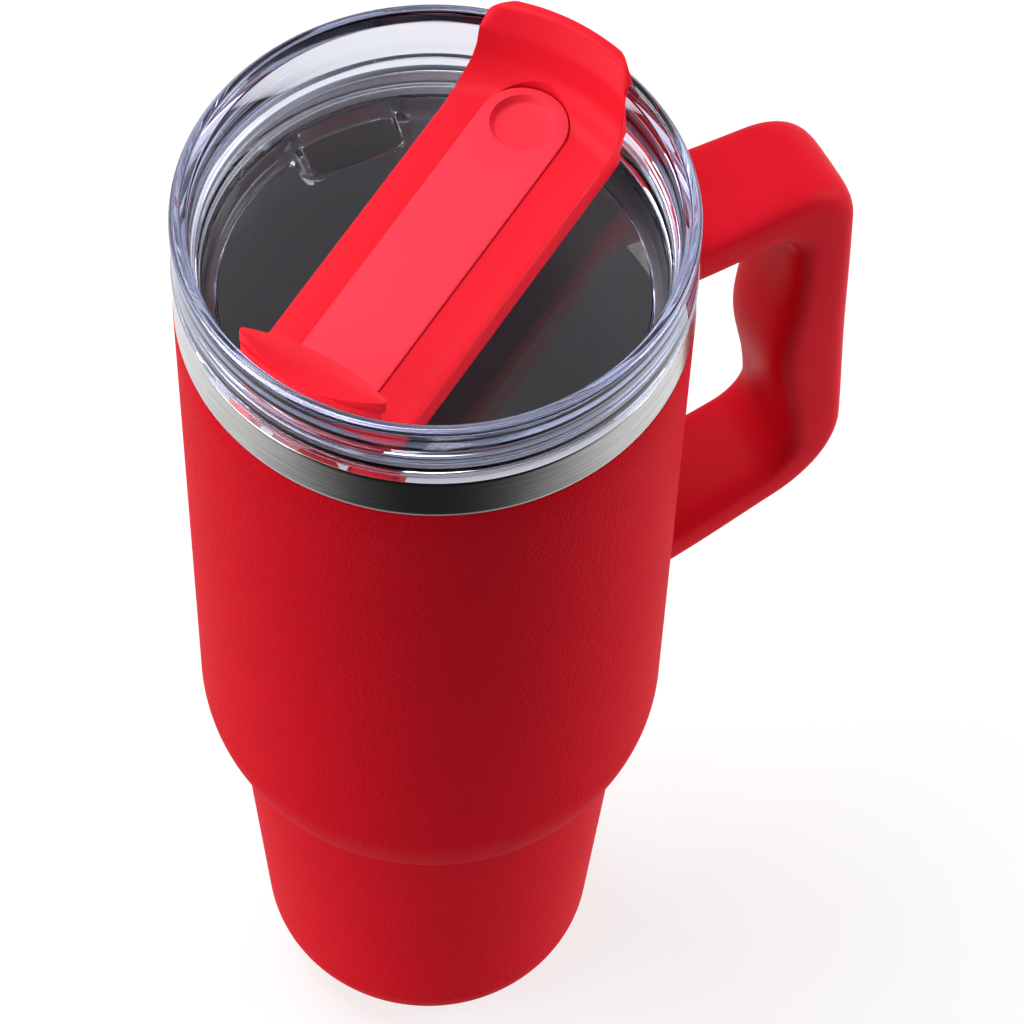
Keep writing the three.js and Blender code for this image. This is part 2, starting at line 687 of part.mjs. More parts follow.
function strawSlider() {
  const bottom = CHANNEL.floorZ + GAP;
  const { halfWidth, tailX, topZ, flange, flangeThickness, tailCorner } = SLIDER;
  const tongue = raised(tongueOutline(tailX, CHANNEL.endX, halfWidth, tailCorner), bottom, topZ);
  const flangeStart = tailX + SLIDER.flangeTail;
  const flangeEnd = CHANNEL.endX - SLIDER.flangeHead;
  const flanges = block(flangeStart, flangeEnd, halfWidth + flange, bottom, bottom + flangeThickness);
  const dish = turned(
    [
      [0, topZ - DISH.depth],
      [DISH.floorRadius, topZ - DISH.depth],
      [DISH.middleRadius, topZ - DISH.middleDepth],
      [DISH.radius, topZ],
      [DISH.radius, topZ + 1],
      [0, topZ + 1],
    ],
    SMALL_ROUND,
  ).translate(DISH.x, 0, 0);
  const pocketTop = bottom + SEAL_PAD.thickness + GAP;
  const sealPocket = cylinder(SEAL_PAD.radius + GAP, bottom - 1, pocketTop, SEAL_PAD.x);
  const slider = without(both(solid(tongue), solid(flanges)), solid(dish), solid(sealPocket));
  return slider.translate([0, CHANNEL.y, 0]);
}

function sliderSeal() {
  const bottom = CHANNEL.floorZ + GAP;
  const pad = cylinder(SEAL_PAD.radius, bottom, bottom + SEAL_PAD.thickness, SEAL_PAD.x);
  return pad.translate(0, CHANNEL.y, 0);
}

// The soft plug that the bar carries over the sip opening, with the straw's passage through it.
function sipSeal() {
  const { inner, outer, halfWidth, lift, flangeDrop } = SIP_SEAL;
  const neck = BAR.endRadius - BAR.skirt - flangeDrop;
  const flangeTop = BAR.skirtZ - flangeDrop;
  const ring = turned([
    [inner, FLOOR.topZ + lift],
    [SIP.inner, FLOOR.topZ + lift],
    [outer, FLOOR.topZ + lift + RAMP.slope * (outer - SIP.inner)],
    [outer, flangeTop],
    [neck, flangeTop],
    [neck, BAR.undersideZ - GAP],
    [inner, BAR.undersideZ - GAP],
  ]);
  const body = solid(ring).intersect(solid(block(inner - 5, outer + 3, halfWidth, FLOOR.topZ, BAR.topZ)));
  return without(body, strawHole(FLOOR.topZ, BAR.topZ));
}

function pivotCap() {
  const { radius, bottomZ, topZ, seat, chamfer } = PIVOT_CAP;
  const { headRadius, radius: shaft } = PIVOT_SCREW;
  const seatZ = topZ - seat;
  return turned(
    [
      [headRadius + GAP, bottomZ],
      [radius, bottomZ],
      [radius, topZ - chamfer],
      [radius - chamfer, topZ],
      [shaft + GAP, topZ],
      [shaft + GAP, seatZ],
      [headRadius + GAP, seatZ],
    ],
    SMALL_ROUND,
  );
}

function pivotScrew() {
  const { radius, headRadius, headHeight, topZ } = PIVOT_SCREW;
  const bottom = PIVOT_CAP.topZ - PIVOT_CAP.seat - GAP - headHeight;
  const neck = bottom + headHeight;
  return turned(
    [[0, bottom], [headRadius, bottom], [headRadius, neck], [radius, neck], [radius, topZ], [0, topZ]],
    SCREW_ROUND,
  );
}

function pivotRing() {
  const { thickness, radius } = PIVOT_RING;
  return turned(arc(radius, PIVOT_CAP.topZ + GAP + thickness, thickness, 0, 315, 7), SMALL_ROUND);
}

// ---------------------------------------------------------------- assembly

const windows = fixings.map((f) => f.pocket);
const shellClearance = bodyEnvelope(SHELL_DEPTH - GAP, UPPER.topZ);

const mug = new THREE.Group();
const lid = new THREE.Group();
const bar = new THREE.Group();
bar.rotation.z = BAR.angle * DEG;
lid.add(bar);
mug.add(lid);

function add(parent, name, shape, finish) {
  const mesh = new THREE.Mesh(shape.isBufferGeometry ? shape : geometryOf(shape), finish);
  mesh.name = name;
  parent.add(mesh);
}

add(mug, "outer_shell", outerShell(), STEEL);
add(mug, "powder_coat", without(powderCoat(), ...windows), RED_COAT);
add(mug, "inner_liner", innerLiner(), STEEL);
add(mug, "copper_foil", copperFoil(), COPPER);
add(mug, "outer_base", outerBase(), STEEL);
add(mug, "base_pad", basePad(), RUBBER);
add(mug, "vacuum_seal", vacuumSeal(), GLASS_SOLDER);
add(mug, "getter", getterRing(), GETTER_METAL);
add(mug, "handle_cover", handleCover(), HANDLE_RED);
add(mug, "handle_core", handleCore(), CORE_PLASTIC);
for (const [side, fixing] of Object.entries(FIXINGS)) {
  add(mug, "handle_bracket_" + side, fixing.tongue.subtract(shellClearance), STEEL);
  add(mug, "handle_screw_" + side, fixing.screw, STEEL);
  add(mug, "screw_cap_" + side, fixing.cap, HANDLE_RED);
}

add(lid, "lid_body", lidBody(), CLEAR_PLASTIC);
add(lid, "lid_gasket", lidGasket(), CLEAR_SILICONE);

add(bar, "cover_bar", coverBar(), BAR_RED);
add(bar, "straw_slider", strawSlider(), SLIDER_RED);
add(bar, "slider_seal", sliderSeal(), SEAL_RED);
add(bar, "sip_seal", sipSeal(), SEAL_RED);
add(bar, "pivot_cap", pivotCap(), BAR_RED);
add(bar, "pivot_screw", pivotScrew(), STEEL);
add(bar, "pivot_ring", pivotRing(), CLEAR_SILICONE);

export default mug;
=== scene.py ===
import json
import math

import bmesh
import bpy
import numpy as np
from mathutils import Matrix, Vector


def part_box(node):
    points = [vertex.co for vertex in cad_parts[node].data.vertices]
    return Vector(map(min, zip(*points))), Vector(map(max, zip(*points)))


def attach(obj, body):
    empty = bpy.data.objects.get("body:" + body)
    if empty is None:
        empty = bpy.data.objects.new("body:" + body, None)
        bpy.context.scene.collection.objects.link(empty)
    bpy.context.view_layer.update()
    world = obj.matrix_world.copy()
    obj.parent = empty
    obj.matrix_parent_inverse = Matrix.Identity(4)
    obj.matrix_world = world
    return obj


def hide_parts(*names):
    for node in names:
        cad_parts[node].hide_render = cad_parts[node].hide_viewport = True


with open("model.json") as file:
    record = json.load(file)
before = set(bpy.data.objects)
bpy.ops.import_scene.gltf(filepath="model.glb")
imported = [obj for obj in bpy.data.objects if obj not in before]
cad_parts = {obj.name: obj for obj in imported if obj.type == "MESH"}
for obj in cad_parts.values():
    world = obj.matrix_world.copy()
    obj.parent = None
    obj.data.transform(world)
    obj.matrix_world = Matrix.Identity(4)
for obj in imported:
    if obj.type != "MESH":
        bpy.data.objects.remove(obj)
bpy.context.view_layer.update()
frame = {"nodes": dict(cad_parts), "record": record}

# ------------------------------------------------------------------ sizes, in millimetres
MM = 0.001
ROUND_STEPS = 192  # facets of the large round pieces
SMALL_STEPS = 64

BASE = Vector(frame["record"]["mounts"][0]["pos_m"])  # centre of the foot, in metres
RIM_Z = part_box("outer_shell")[1].z / MM
COAT_TOP_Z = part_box("powder_coat")[1].z / MM
COAT_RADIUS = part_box("powder_coat")[1].x / MM
LID_TOP_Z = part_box("lid_body")[1].z / MM
LID_SEAT_Z = RIM_Z + 0.15
FLOOR_BOTTOM_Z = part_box("lid_body")[0].z / MM
FLOOR_TOP_Z = FLOOR_BOTTOM_Z + 2.4

# Outside of the mug: base corner, lower cone, shoulder and upper cone, as the CAD has them.
CONE_FOOT, CONE_SLOPE = 34.6, 0.0889
CORNER_R, CORNER_Z, CORNER_RADIUS = 19.05, 17.0, 17.0
SHOULDER_R, SHOULDER_Z, SHOULDER_RADIUS = 18.5, 104.65, 31.3
UPPER_BOTTOM_R, UPPER_BOTTOM_Z = 49.8, 104.9
UPPER_SLOPE = (COAT_RADIUS - UPPER_BOTTOM_R) / (COAT_TOP_Z - UPPER_BOTTOM_Z)
FOOT_EDGE = 27.7
SHEET = 0.6

# Handle: side view lines, with x as the distance from the axis.
HANDLE_WIDTH = 24.6
HANDLE_POWER = 4.1  # squareness of its section
ROOT_WIDENING, ROOT_WIDENING_X = 0.75, 85.0  # the arms get wider towards the mug
HANDLE_ROOT_X = 54.0
HANDLE_TOP_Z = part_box("handle_cover")[1].z / MM
HANDLE_TOP_THICKNESS = 13.7
GRIP_X, GRIP_LOW_X = 93.7, 94.9
GRIP_THICKNESS = 14.2
LOWER_Z, LOWER_SLOPE, LOWER_THICKNESS = 118.4, 0.28, 11.4
SLEEVE = 2.2
CAP_HOLE = 3.8
BUMP_HEIGHT, BUMP_Z, BUMP_SPREAD = 3.7, 173.0, 17.0

# Cover bar, in its own frame: x along the bar towards its flared end.
BAR_ANGLE = math.radians(30.9)
BAR_HALF_WIDTH = 18.2
BAR_END = 47.0
BAR_TOP_Z, BAR_SKIRT_Z, BAR_UNDER_Z = 251.0, 244.7, 246.2
CHANNEL_FLOOR_Z, CHANNEL_LEDGE_Z = 247.9, 249.5
CHANNEL_HALF_WIDTH, CHANNEL_END_X, CHANNEL_Y = 9.7, 36.2, 1.3
SLIDER_TOP_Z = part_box("straw_slider")[1].z / MM
SLIDER_BOTTOM_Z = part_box("straw_slider")[0].z / MM
SLIDER_HALF_WIDTH, SLIDER_TAIL_X = 9.45, -37.2
STRAW_X, STRAW_RADIUS = 40.4, 3.9
DISH_X, SEAL_X = 36.8, 38.6  # finger dish, and the seal pad under it
TAB_RADIUS, TAB_CHORD_X, TAB_BULGE, TAB_Y = 47.1, -40.3, 52.5, 1.9
TAB_TOP_Z, TAB_LIP_Z = 263.0, 259.3
SWEEP_R, SWEEP_RADIUS = 39.8, 7.6  # concave sweep from the plate up to the flared end
FLARE_TOP_Z, FLARE_CORNER = 268.7, 3.0
FLARE_ARCH, FLARE_NARROWING = 1.0, 1.1  # its crest falls and narrows towards the corners

# Lid floor.
SIP_AZIMUTH = math.radians(86.9)
SIP_INNER, SIP_OUTER, SIP_HALF_WIDTH = 36.4, 46.4, 10.5
RAMP_SLOPE = 0.44
PIVOT_HOLE, HUB_FOOT_Z = 5.5, 237.0


# ------------------------------------------------------------------ mesh helpers
def smoothstep(value):
    value = max(0.0, min(1.0, value))
    return value * value * (3 - 2 * value)


def arc(centre_x, centre_y, radius, start, end, steps):
    """Points of an arc between two angles in degrees."""
    angles = np.radians(np.linspace(start, end, steps + 1))
    return [(centre_x + radius * math.cos(a), centre_y + radius * math.sin(a)) for a in angles]


def circle(radius, count, centre_x=0, centre_y=0):
    """Points of a whole circle."""
    return arc(centre_x, centre_y, radius, 0, 360 - 360 / count, count - 1)


def filleted(points, closed=True):
    """Rounds the corners of an outline: each point is (x, y) or (x, y, radius)."""
    result = []
    count = len(points)
    for i, point in enumerate(points):
        radius = point[2] if len(point) > 2 else 0
        corner = Vector(point[:2])
        if not radius or (not closed and i in (0, count - 1)):
            result.append(tuple(corner))
            continue
        back = (Vector(points[i - 1][:2]) - corner).normalized()
        on = (Vector(points[(i + 1) % count][:2]) - corner).normalized()
        half = math.acos(max(-1, min(1, back.dot(on)))) / 2
        reach = radius / math.tan(half)
        centre = corner + (back + on).normalized() * math.hypot(reach, radius)
        first, last = corner + back * reach - centre, corner + on * reach - centre
        steps = max(2, round((math.pi - 2 * half) / math.radians(12)))
        for k in range(steps + 1):
            result.append(tuple(centre + first.slerp(last, k / steps) * radius))
    return result


def ring_faces(rings, count, start=0, closed=False):
    """Quads between neighbouring rings of count points; closed also joins the last ring to the first."""
    faces = []
    for ring in range(rings if closed else rings - 1):
        a, b = start + ring * count, start + (ring + 1) % rings * count
        for k in range(count):
            n = (k + 1) % count
            faces.append((a + k, a + n, b + n, b + k))
    return faces


def end_faces(rings, count):
    """The two faces that close a row of rings."""
    return [tuple(range(count)), tuple(range((rings - 1) * count, rings * count))]


def new_object(name, vertices, faces):
    """A mesh object from points in millimetres."""
    mesh = bpy.data.meshes.new(name)
    mesh.from_pydata([tuple(Vector(v) * MM) for v in vertices], [], faces)
    obj = bpy.data.objects.new(name, mesh)
    bpy.context.scene.collection.objects.link(obj)
    work = bmesh.new()
    work.from_mesh(mesh)
    bmesh.ops.remove_doubles(work, verts=work.verts, dist=1e-7)
    bmesh.ops.recalc_face_normals(work, faces=work.faces)
    work.to_mesh(mesh)
    work.free()
    return obj


def turned(name, profile, steps=ROUND_STEPS, height=None):
    """A body of revolution about Z. The profile's (r, z) points close on themselves or end on the axis.
    height(r, z, angle) may lift a point."""
    vertices, faces, rings = [], [], []
    for r, z in profile:
        if r < 1e-6:
            rings.append([len(vertices)])
            vertices.append((0, 0, z))
            continue
        ring = []
        for k in range(steps):
            angle = 2 * math.pi * k / steps
            lift = height(r, z, angle) if height else 0
            ring.append(len(vertices))
            vertices.append((r * math.cos(angle), r * math.sin(angle), z + lift))
        rings.append(ring)
    count = len(rings)
    closed = profile[0][0] > 1e-6
    for i in range(count if closed else count - 1):
        a, b = rings[i], rings[(i + 1) % count]
        for k in range(steps):
            n = (k + 1) % steps
            if len(a) == 1 and len(b) == 1:
                break
            if len(a) == 1:
                faces.append((a[0], b[k], b[n]))
            elif len(b) == 1:
                faces.append((a[k], b[0], a[n]))
            else:
                faces.append((a[k], b[k], b[n], a[n]))
    return new_object(name, vertices, faces)


def slab(name, outline, z0, z1, top_round=0.0, bottom_round=0.0, steps=4):
    """A flat piece with the given outline in plan and rounded edges above and below."""
    points = np.array(outline, float)
    after, before = np.roll(points, -1, 0) - points, points - np.roll(points, 1, 0)
    after /= np.linalg.norm(after, axis=1)[:, None]
    before /= np.linalg.norm(before, axis=1)[:, None]
    tangent = after + before
    tangent /= np.linalg.norm(tangent, axis=1)[:, None]
    mitre = np.sqrt((1 + (after * before).sum(1)) / 2)[:, None]
    inward = np.stack([-tangent[:, 1], tangent[:, 0]], 1) / mitre
    area = (points[:, 0] * np.roll(points[:, 1], -1) - points[:, 1] * np.roll(points[:, 0], -1)).sum()
    inward *= np.sign(area)
    levels = []
    for radius, z, up in ((bottom_round, z0, -1), (top_round, z1, 1)):
        ring = []
        for k in range(steps + 1 if radius else 1):
            angle = math.pi / 2 * k / steps
            ring.append((radius * (1 - math.cos(angle)), z - up * radius * (1 - math.sin(angle))))
        levels += ring[::-1] if up < 0 else ring
    count = len(points)
    vertices = [(*(points[i] + inward[i] * inset), z) for inset, z in levels for i in range(count)]
    faces = end_faces(len(levels), count) + ring_faces(len(levels), count)
    return new_object(name, vertices, faces)


def boolean(target, tool, operation="DIFFERENCE"):
    """Cuts the tool from the target, or joins it, and removes the tool."""
    modifier = target.modifiers.new("boolean", "BOOLEAN")
    modifier.object = tool
    modifier.operation = operation
    modifier.solver = "MANIFOLD"
    graph = bpy.context.evaluated_depsgraph_get()
    mesh = bpy.data.meshes.new_from_object(target.evaluated_get(graph))
    target.modifiers.clear()
    old = target.data
    target.data = mesh
    mesh.name = target.name
    bpy.data.meshes.remove(old)
    bpy.data.objects.remove(tool)
    return target


def join(target, *tools):
    for tool in tools:
        boolean(target, tool, "UNION")
    return target


def cut(target, *tools):
    for tool in tools:
        boolean(target, tool)
    return target


def spun(obj, angle):
    """Turns a piece's mesh about Z."""
    obj.data.transform(Matrix.Rotation(angle, 4, "Z"))
    return obj


def shifted(obj, x, y):
    """Moves a piece's mesh in plan."""
    obj.data.transform(Matrix.Translation((x * MM, y * MM, 0)))
    return obj


def finish_piece(obj, material, body, slot, *nodes, sharp=35):
    """Shades a piece, gives it its material, and puts it on its body in place of its CAD nodes."""
    mesh = obj.data
    mesh.polygons.foreach_set("use_smooth", [True] * len(mesh.polygons))
    mesh.set_sharp_from_angle(angle=math.radians(sharp))
    mesh.materials.clear()
    mesh.materials.append(material)
    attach(obj, body)
    if nodes:
        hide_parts(*nodes)
    return obj


# ------------------------------------------------------------------ materials
def new_material(name):
    material = bpy.data.materials.new(name)
    material.use_nodes = True
    tree = material.node_tree
    return material, tree, tree.nodes["Principled BSDF"]


def noise(tree, scale, detail=2.0, roughness=0.5, stretch=(1, 1, 1)):
    """A noise texture in the piece's own coordinates; scale counts features per metre."""
    nodes, links = tree.nodes, tree.links
    coordinates = nodes.new("ShaderNodeTexCoord")
    mapping = nodes.new("ShaderNodeMapping")
    mapping.inputs["Scale"].default_value = stretch
    texture = nodes.new("ShaderNodeTexNoise")
    texture.inputs["Scale"].default_value = scale
    texture.inputs["Detail"].default_value = detail
    texture.inputs["Roughness"].default_value = roughness
    links.new(coordinates.outputs["Object"], mapping.inputs["Vector"])
    links.new(mapping.outputs["Vector"], texture.inputs["Vector"])
    return texture.outputs["Fac"]


def ramp(tree, value, low, high, from_low=0.3, from_high=0.7):
    """Maps a value onto a range. Most of a noise lies between 0.3 and 0.7."""
    node = tree.nodes.new("ShaderNodeMapRange")
    ends = {"From Min": from_low, "From Max": from_high, "To Min": low, "To Max": high}
    for key, number in ends.items():
        node.inputs[key].default_value = number
    tree.links.new(value, node.inputs["Value"])
    return node.outputs["Result"]


def tinted(tree, value, dark, light):
    """Blends two colours by a value."""
    node = tree.nodes.new("ShaderNodeMix")
    node.data_type = "RGBA"
    node.inputs["A"].default_value = (*dark, 1)
    node.inputs["B"].default_value = (*light, 1)
    tree.links.new(value, node.inputs["Factor"])
    return node.outputs["Result"]


def bumped(tree, shader, height, strength, distance):
    node = tree.nodes.new("ShaderNodeBump")
    node.inputs["Strength"].default_value = strength
    node.inputs["Distance"].default_value = distance
    tree.links.new(height, node.inputs["Height"])
    tree.links.new(node.outputs["Normal"], shader.inputs["Normal"])


def grained(name, colour, roughness, grain_mm, depth_mm, strength, variation, specular=0.5):
    """A painted or moulded surface with a fine even grain and slight changes of colour and gloss."""
    material, tree, shader = new_material(name)
    grain = noise(tree, 1000 / grain_mm, detail=3, roughness=0.6)
    patches = noise(tree, 60, detail=2)
    dark = [c * (1 - variation) for c in colour]
    light = [min(1, c * (1 + variation)) for c in colour]
    tree.links.new(tinted(tree, patches, dark, light), shader.inputs["Base Color"])
    tree.links.new(ramp(tree, grain, roughness - 0.04, roughness + 0.05), shader.inputs["Roughness"])
    shader.inputs["Specular IOR Level"].default_value = specular
    bumped(tree, shader, grain, strength, depth_mm * MM)
    return material


def brushed(name, dark, light, roughness, direction, anisotropy, metallic=1.0):
    """Brushed steel: fine streaks that run round the mug, or out over a flat base."""
    material, tree, shader = new_material(name)
    streaks = noise(tree, 1.0, detail=4, roughness=0.65, stretch=direction)
    broad = noise(tree, 25, detail=2)
    tree.links.new(tinted(tree, ramp(tree, streaks, 0, 1), dark, light), shader.inputs["Base Color"])
    tree.links.new(ramp(tree, streaks, roughness + 0.08, roughness - 0.04), shader.inputs["Roughness"])
    shader.inputs["Metallic"].default_value = metallic
    shader.inputs["Anisotropic"].default_value = anisotropy
    tangent = tree.nodes.new("ShaderNodeTangent")
    tangent.direction_type = "RADIAL"
    tangent.axis = "Z"
    tree.links.new(tangent.outputs["Tangent"], shader.inputs["Tangent"])
    height = tree.nodes.new("ShaderNodeMath")
    height.operation = "MULTIPLY_ADD"
    height.inputs[1].default_value = 1.0
    tree.links.new(streaks, height.inputs[0])
    tree.links.new(broad, height.inputs[2])
    bumped(tree, shader, height.outputs["Value"], 0.12, 0.00004)
    return material


def clear_plastic():
    """Clear moulded plastic that looks smoky blue where it is thick, with slight flow marks."""
    material, tree, shader = new_material("clear_plastic")
    shader.inputs["Base Color"].default_value = (0.93, 0.94, 0.97, 1)
    depth = tree.nodes.new("ShaderNodeVolumeAbsorption")
    depth.inputs["Color"].default_value = (0.36, 0.47, 0.92, 1)
    depth.inputs["Density"].default_value = 30.0
    tree.links.new(depth.outputs["Volume"], tree.nodes["Material Output"].inputs["Volume"])
    shader.inputs["Transmission Weight"].default_value = 1.0
    shader.inputs["IOR"].default_value = 1.5
    flow = noise(tree, 90, detail=2, stretch=(1, 1, 3))
    tree.links.new(ramp(tree, flow, 0.0, 0.02), shader.inputs["Roughness"])
    bumped(tree, shader, flow, 0.01, 0.0002)
    return material


def silicone(name, colour, clear):
    """Soft rubber; clear is how much light passes through it."""
    material, tree, shader = new_material(name)
    cloud = noise(tree, 300, detail=2)
    dark = [c * 0.92 for c in colour]
    tree.links.new(tinted(tree, cloud, dark, colour), shader.inputs["Base Color"])
    tree.links.new(ramp(tree, cloud, 0.42, 0.55), shader.inputs["Roughness"])
    shader.inputs["Transmission Weight"].default_value = clear
    bumped(tree, shader, noise(tree, 4000), 0.15, 0.00003)
    return material


def metal(name, colour, roughness, grain_mm, strength=0.2):
    """Plain metal with a fine grain."""
    material, tree, shader = new_material(name)
    grain = noise(tree, 1000 / grain_mm, detail=3)
    tree.links.new(tinted(tree, grain, [c * 0.85 for c in colour], colour), shader.inputs["Base Color"])
    tree.links.new(ramp(tree, grain, roughness - 0.06, roughness + 0.08), shader.inputs["Roughness"])
    shader.inputs["Metallic"].default_value = 1.0
    bumped(tree, shader, grain, strength, 0.00005)
    return material


AROUND = (60, 60, 5500)  # streaks that run round the axis
MOULDED = {
    "roughness": 0.40, "grain_mm": 0.25, "depth_mm": 0.010,
    "strength": 0.3, "variation": 0.02, "specular": 0.07,
}
MATERIALS = {
    "coat": grained(
        "red_powder_coat", (0.55, 0.003, 0.012), roughness=0.5, grain_mm=0.8, depth_mm=0.3,
        strength=1.0, variation=0.05, specular=0.012,
    ),
    "band": brushed(
        "brushed_steel_band", (0.40, 0.39, 0.38), (0.88, 0.87, 0.86), roughness=0.15, direction=AROUND,
        anisotropy=0.5,
    ),
    "liner": brushed(
        "satin_steel_liner", (0.37, 0.37, 0.38), (0.47, 0.47, 0.48), roughness=0.45, direction=AROUND,
        anisotropy=0.4, metallic=0.6,
    ),
    "base": brushed(
        "brushed_steel_base", (0.42, 0.41, 0.40), (0.66, 0.65, 0.63), roughness=0.3,
        direction=(900, 900, 900), anisotropy=0.2,
    ),
    "handle": grained(
        "soft_red_handle", (0.63, 0.008, 0.020), roughness=0.42, grain_mm=0.4, depth_mm=0.015,
        strength=0.35, variation=0.03, specular=0.03,
    ),
    "bar": grained("moulded_red_bar", (0.74, 0.012, 0.026), **MOULDED),
    "slider": grained("moulded_red_slider", (0.86, 0.040, 0.068), **MOULDED),
    "seal": silicone("red_silicone", (0.42, 0.012, 0.024), 0.0),
    "clear": clear_plastic(),
    "gasket": silicone("clear_silicone", (0.80, 0.81, 0.84), 0.6),
    "rubber": grained(
        "black_rubber", (0.022, 0.022, 0.024), roughness=0.7, grain_mm=0.4, depth_mm=0.02,
        strength=0.5, variation=0.2,
    ),
    "core": grained(
        "dark_red_moulded_core", (0.28, 0.012, 0.022), roughness=0.55, grain_mm=0.5, depth_mm=0.02,
        strength=0.4, variation=0.08,
    ),
    "steel": metal("turned_steel", (0.62, 0.61, 0.60), 0.3, 0.4),
    "copper": metal("copper_foil", (0.86, 0.42, 0.26), 0.28, 2.0),
    "getter": metal("sintered_getter", (0.22, 0.21, 0.20), 0.6, 0.3, 0.6),
    "solder": grained(
        "glass_solder", (0.05, 0.055, 0.06), roughness=0.2, grain_mm=1.5, depth_mm=0.05,
        strength=0.3, variation=0.2,
    ),
}


# ------------------------------------------------------------------ wall of the mug
def upper_radius(z):
    return UPPER_BOTTOM_R + UPPER_SLOPE * (z - UPPER_BOTTOM_Z)


def shoulder_radius(z, depth):
    return SHOULDER_R + math.sqrt((SHOULDER_RADIUS - depth) ** 2 - (z - SHOULDER_Z) ** 2)


def crease_z(depth):
    """Height where the lower cone meets the shoulder, on the surface at a depth."""
    low, high = SHOULDER_Z - 24, SHOULDER_Z - 14
    for _ in range(40):
        middle = (low + high) / 2
        below = shoulder_radius(middle, depth) < CONE_FOOT + CONE_SLOPE * middle - depth
        low, high = (middle, high) if below else (low, middle)
    return low


def wall(depth, top_z, steps=20):
    """The side of the mug from above the base corner up to top_z, on the surface at a depth."""
    crease = crease_z(depth)
    start = math.degrees(math.asin((crease - SHOULDER_Z) / (SHOULDER_RADIUS - depth)))
    curve = arc(SHOULDER_R, SHOULDER_Z, SHOULDER_RADIUS - depth, start, 0, steps)
    cone = [(CONE_FOOT + CONE_SLOPE * z - depth, z) for z in np.linspace(CORNER_Z + 6, crease - 1, 6)]
    straight = [(upper_radius(z) - depth, z) for z in np.linspace(UPPER_BOTTOM_Z + 4, top_z, 12)]
    return cone + curve + straight


def base_corner(depth, from_radius, rise=0, steps=14):
    radius = CORNER_RADIUS - depth
    start = -math.degrees(math.acos((from_radius - CORNER_R) / radius))
    return arc(CORNER_R, CORNER_Z + rise, radius, start, -math.degrees(math.atan(CONE_SLOPE)), steps)


def powder_coat():
    thickness = 0.35
    edge = ((0.05, 0.12), (0.18, 0), (0.3, 0))  # in from the outside, down from the top
    lip = [(COAT_RADIUS - inward, COAT_TOP_Z - down) for inward, down in edge]
    profile = base_corner(0, FOOT_EDGE) + wall(0, COAT_TOP_Z - 0.3) + lip
    profile += (base_corner(thickness, FOOT_EDGE) + wall(thickness, COAT_TOP_Z - 0.1))[::-1]
    return turned("powder_coat_skin", profile)


def outer_shell():
    depth = 0.4
    radius = COAT_RADIUS - 0.1
    profile = base_corner(depth, FOOT_EDGE) + wall(depth, COAT_TOP_Z - 2)
    profile += [(radius - 0.3, COAT_TOP_Z - 0.4), (radius, COAT_TOP_Z + 0.05)]
    profile += [(radius, z) for z in np.linspace(COAT_TOP_Z + 1, RIM_Z - 1.1, 6)]
    profile += arc(radius - 0.7, RIM_Z - 0.7, 0.7, 0, 90, 8)
    profile += [(radius - 1.4, RIM_Z - 0.25), (radius - 1.4, RIM_Z - 2)]
    profile += (base_corner(depth + SHEET, FOOT_EDGE) + wall(depth + SHEET, COAT_TOP_Z - 4))[::-1]
    return turned("outer_shell_and_rim", profile)


def inner_liner():
    depth, rise, mouth = 3.85, 6.0, 50.6
    floor_z = CORNER_Z + rise - CORNER_RADIUS + depth

    def surface(inset):
        neck = [(mouth + SHEET - inset, 231), (mouth + SHEET - inset, 243.4)]
        flare = [(51.35 + SHEET - inset, 245.1), (51.35 + SHEET - inset, RIM_Z - 0.25)]
        return base_corner(depth + inset, CORNER_R, rise) + wall(depth + inset, 224) + neck + flare

    dish = [(12, floor_z + SHEET), (11, floor_z + SHEET + 0.6), (0, floor_z + SHEET + 0.9)]
    return turned("inner_liner_cup", [(0, floor_z)] + surface(0) + surface(SHEET)[::-1] + dish)


def outer_base():
    profile = filleted([
        (1, 3.8), (5, 3.8, 0.8), (6.5, 2.2, 0.8), (23.6, 2.2, 0.5), (24.6, 0.4, 0.5), (27.0, 0.4, 0.5),
        (27.5, 0.9, 0.3), (27.5, 3.7), (26.8, 3.7), (26.8, 1.1, 0.3), (25.0, 1.1, 0.4), (24.0, 2.9, 0.4),
        (6.9, 2.9, 0.6), (5.4, 4.5, 0.6), (1, 4.5),
    ])
    return turned("pressed_steel_base", profile)


def base_pad():
    """The rubber pad has ring-shaped treads on its underside."""
    top, radius = 1.9, 23.2
    profile = [(0, 0)]
    for groove in np.arange(8.0, 20.1, 3.0):
        profile += [(groove, 0), (groove + 0.25, 0.5), (groove + 0.95, 0.5), (groove + 1.2, 0)]
    profile += [(radius - 0.6, 0), (radius - 0.15, 0.2), (radius, 0.6), (radius, top), (0, top)]
    return turned("ribbed_base_pad", profile)


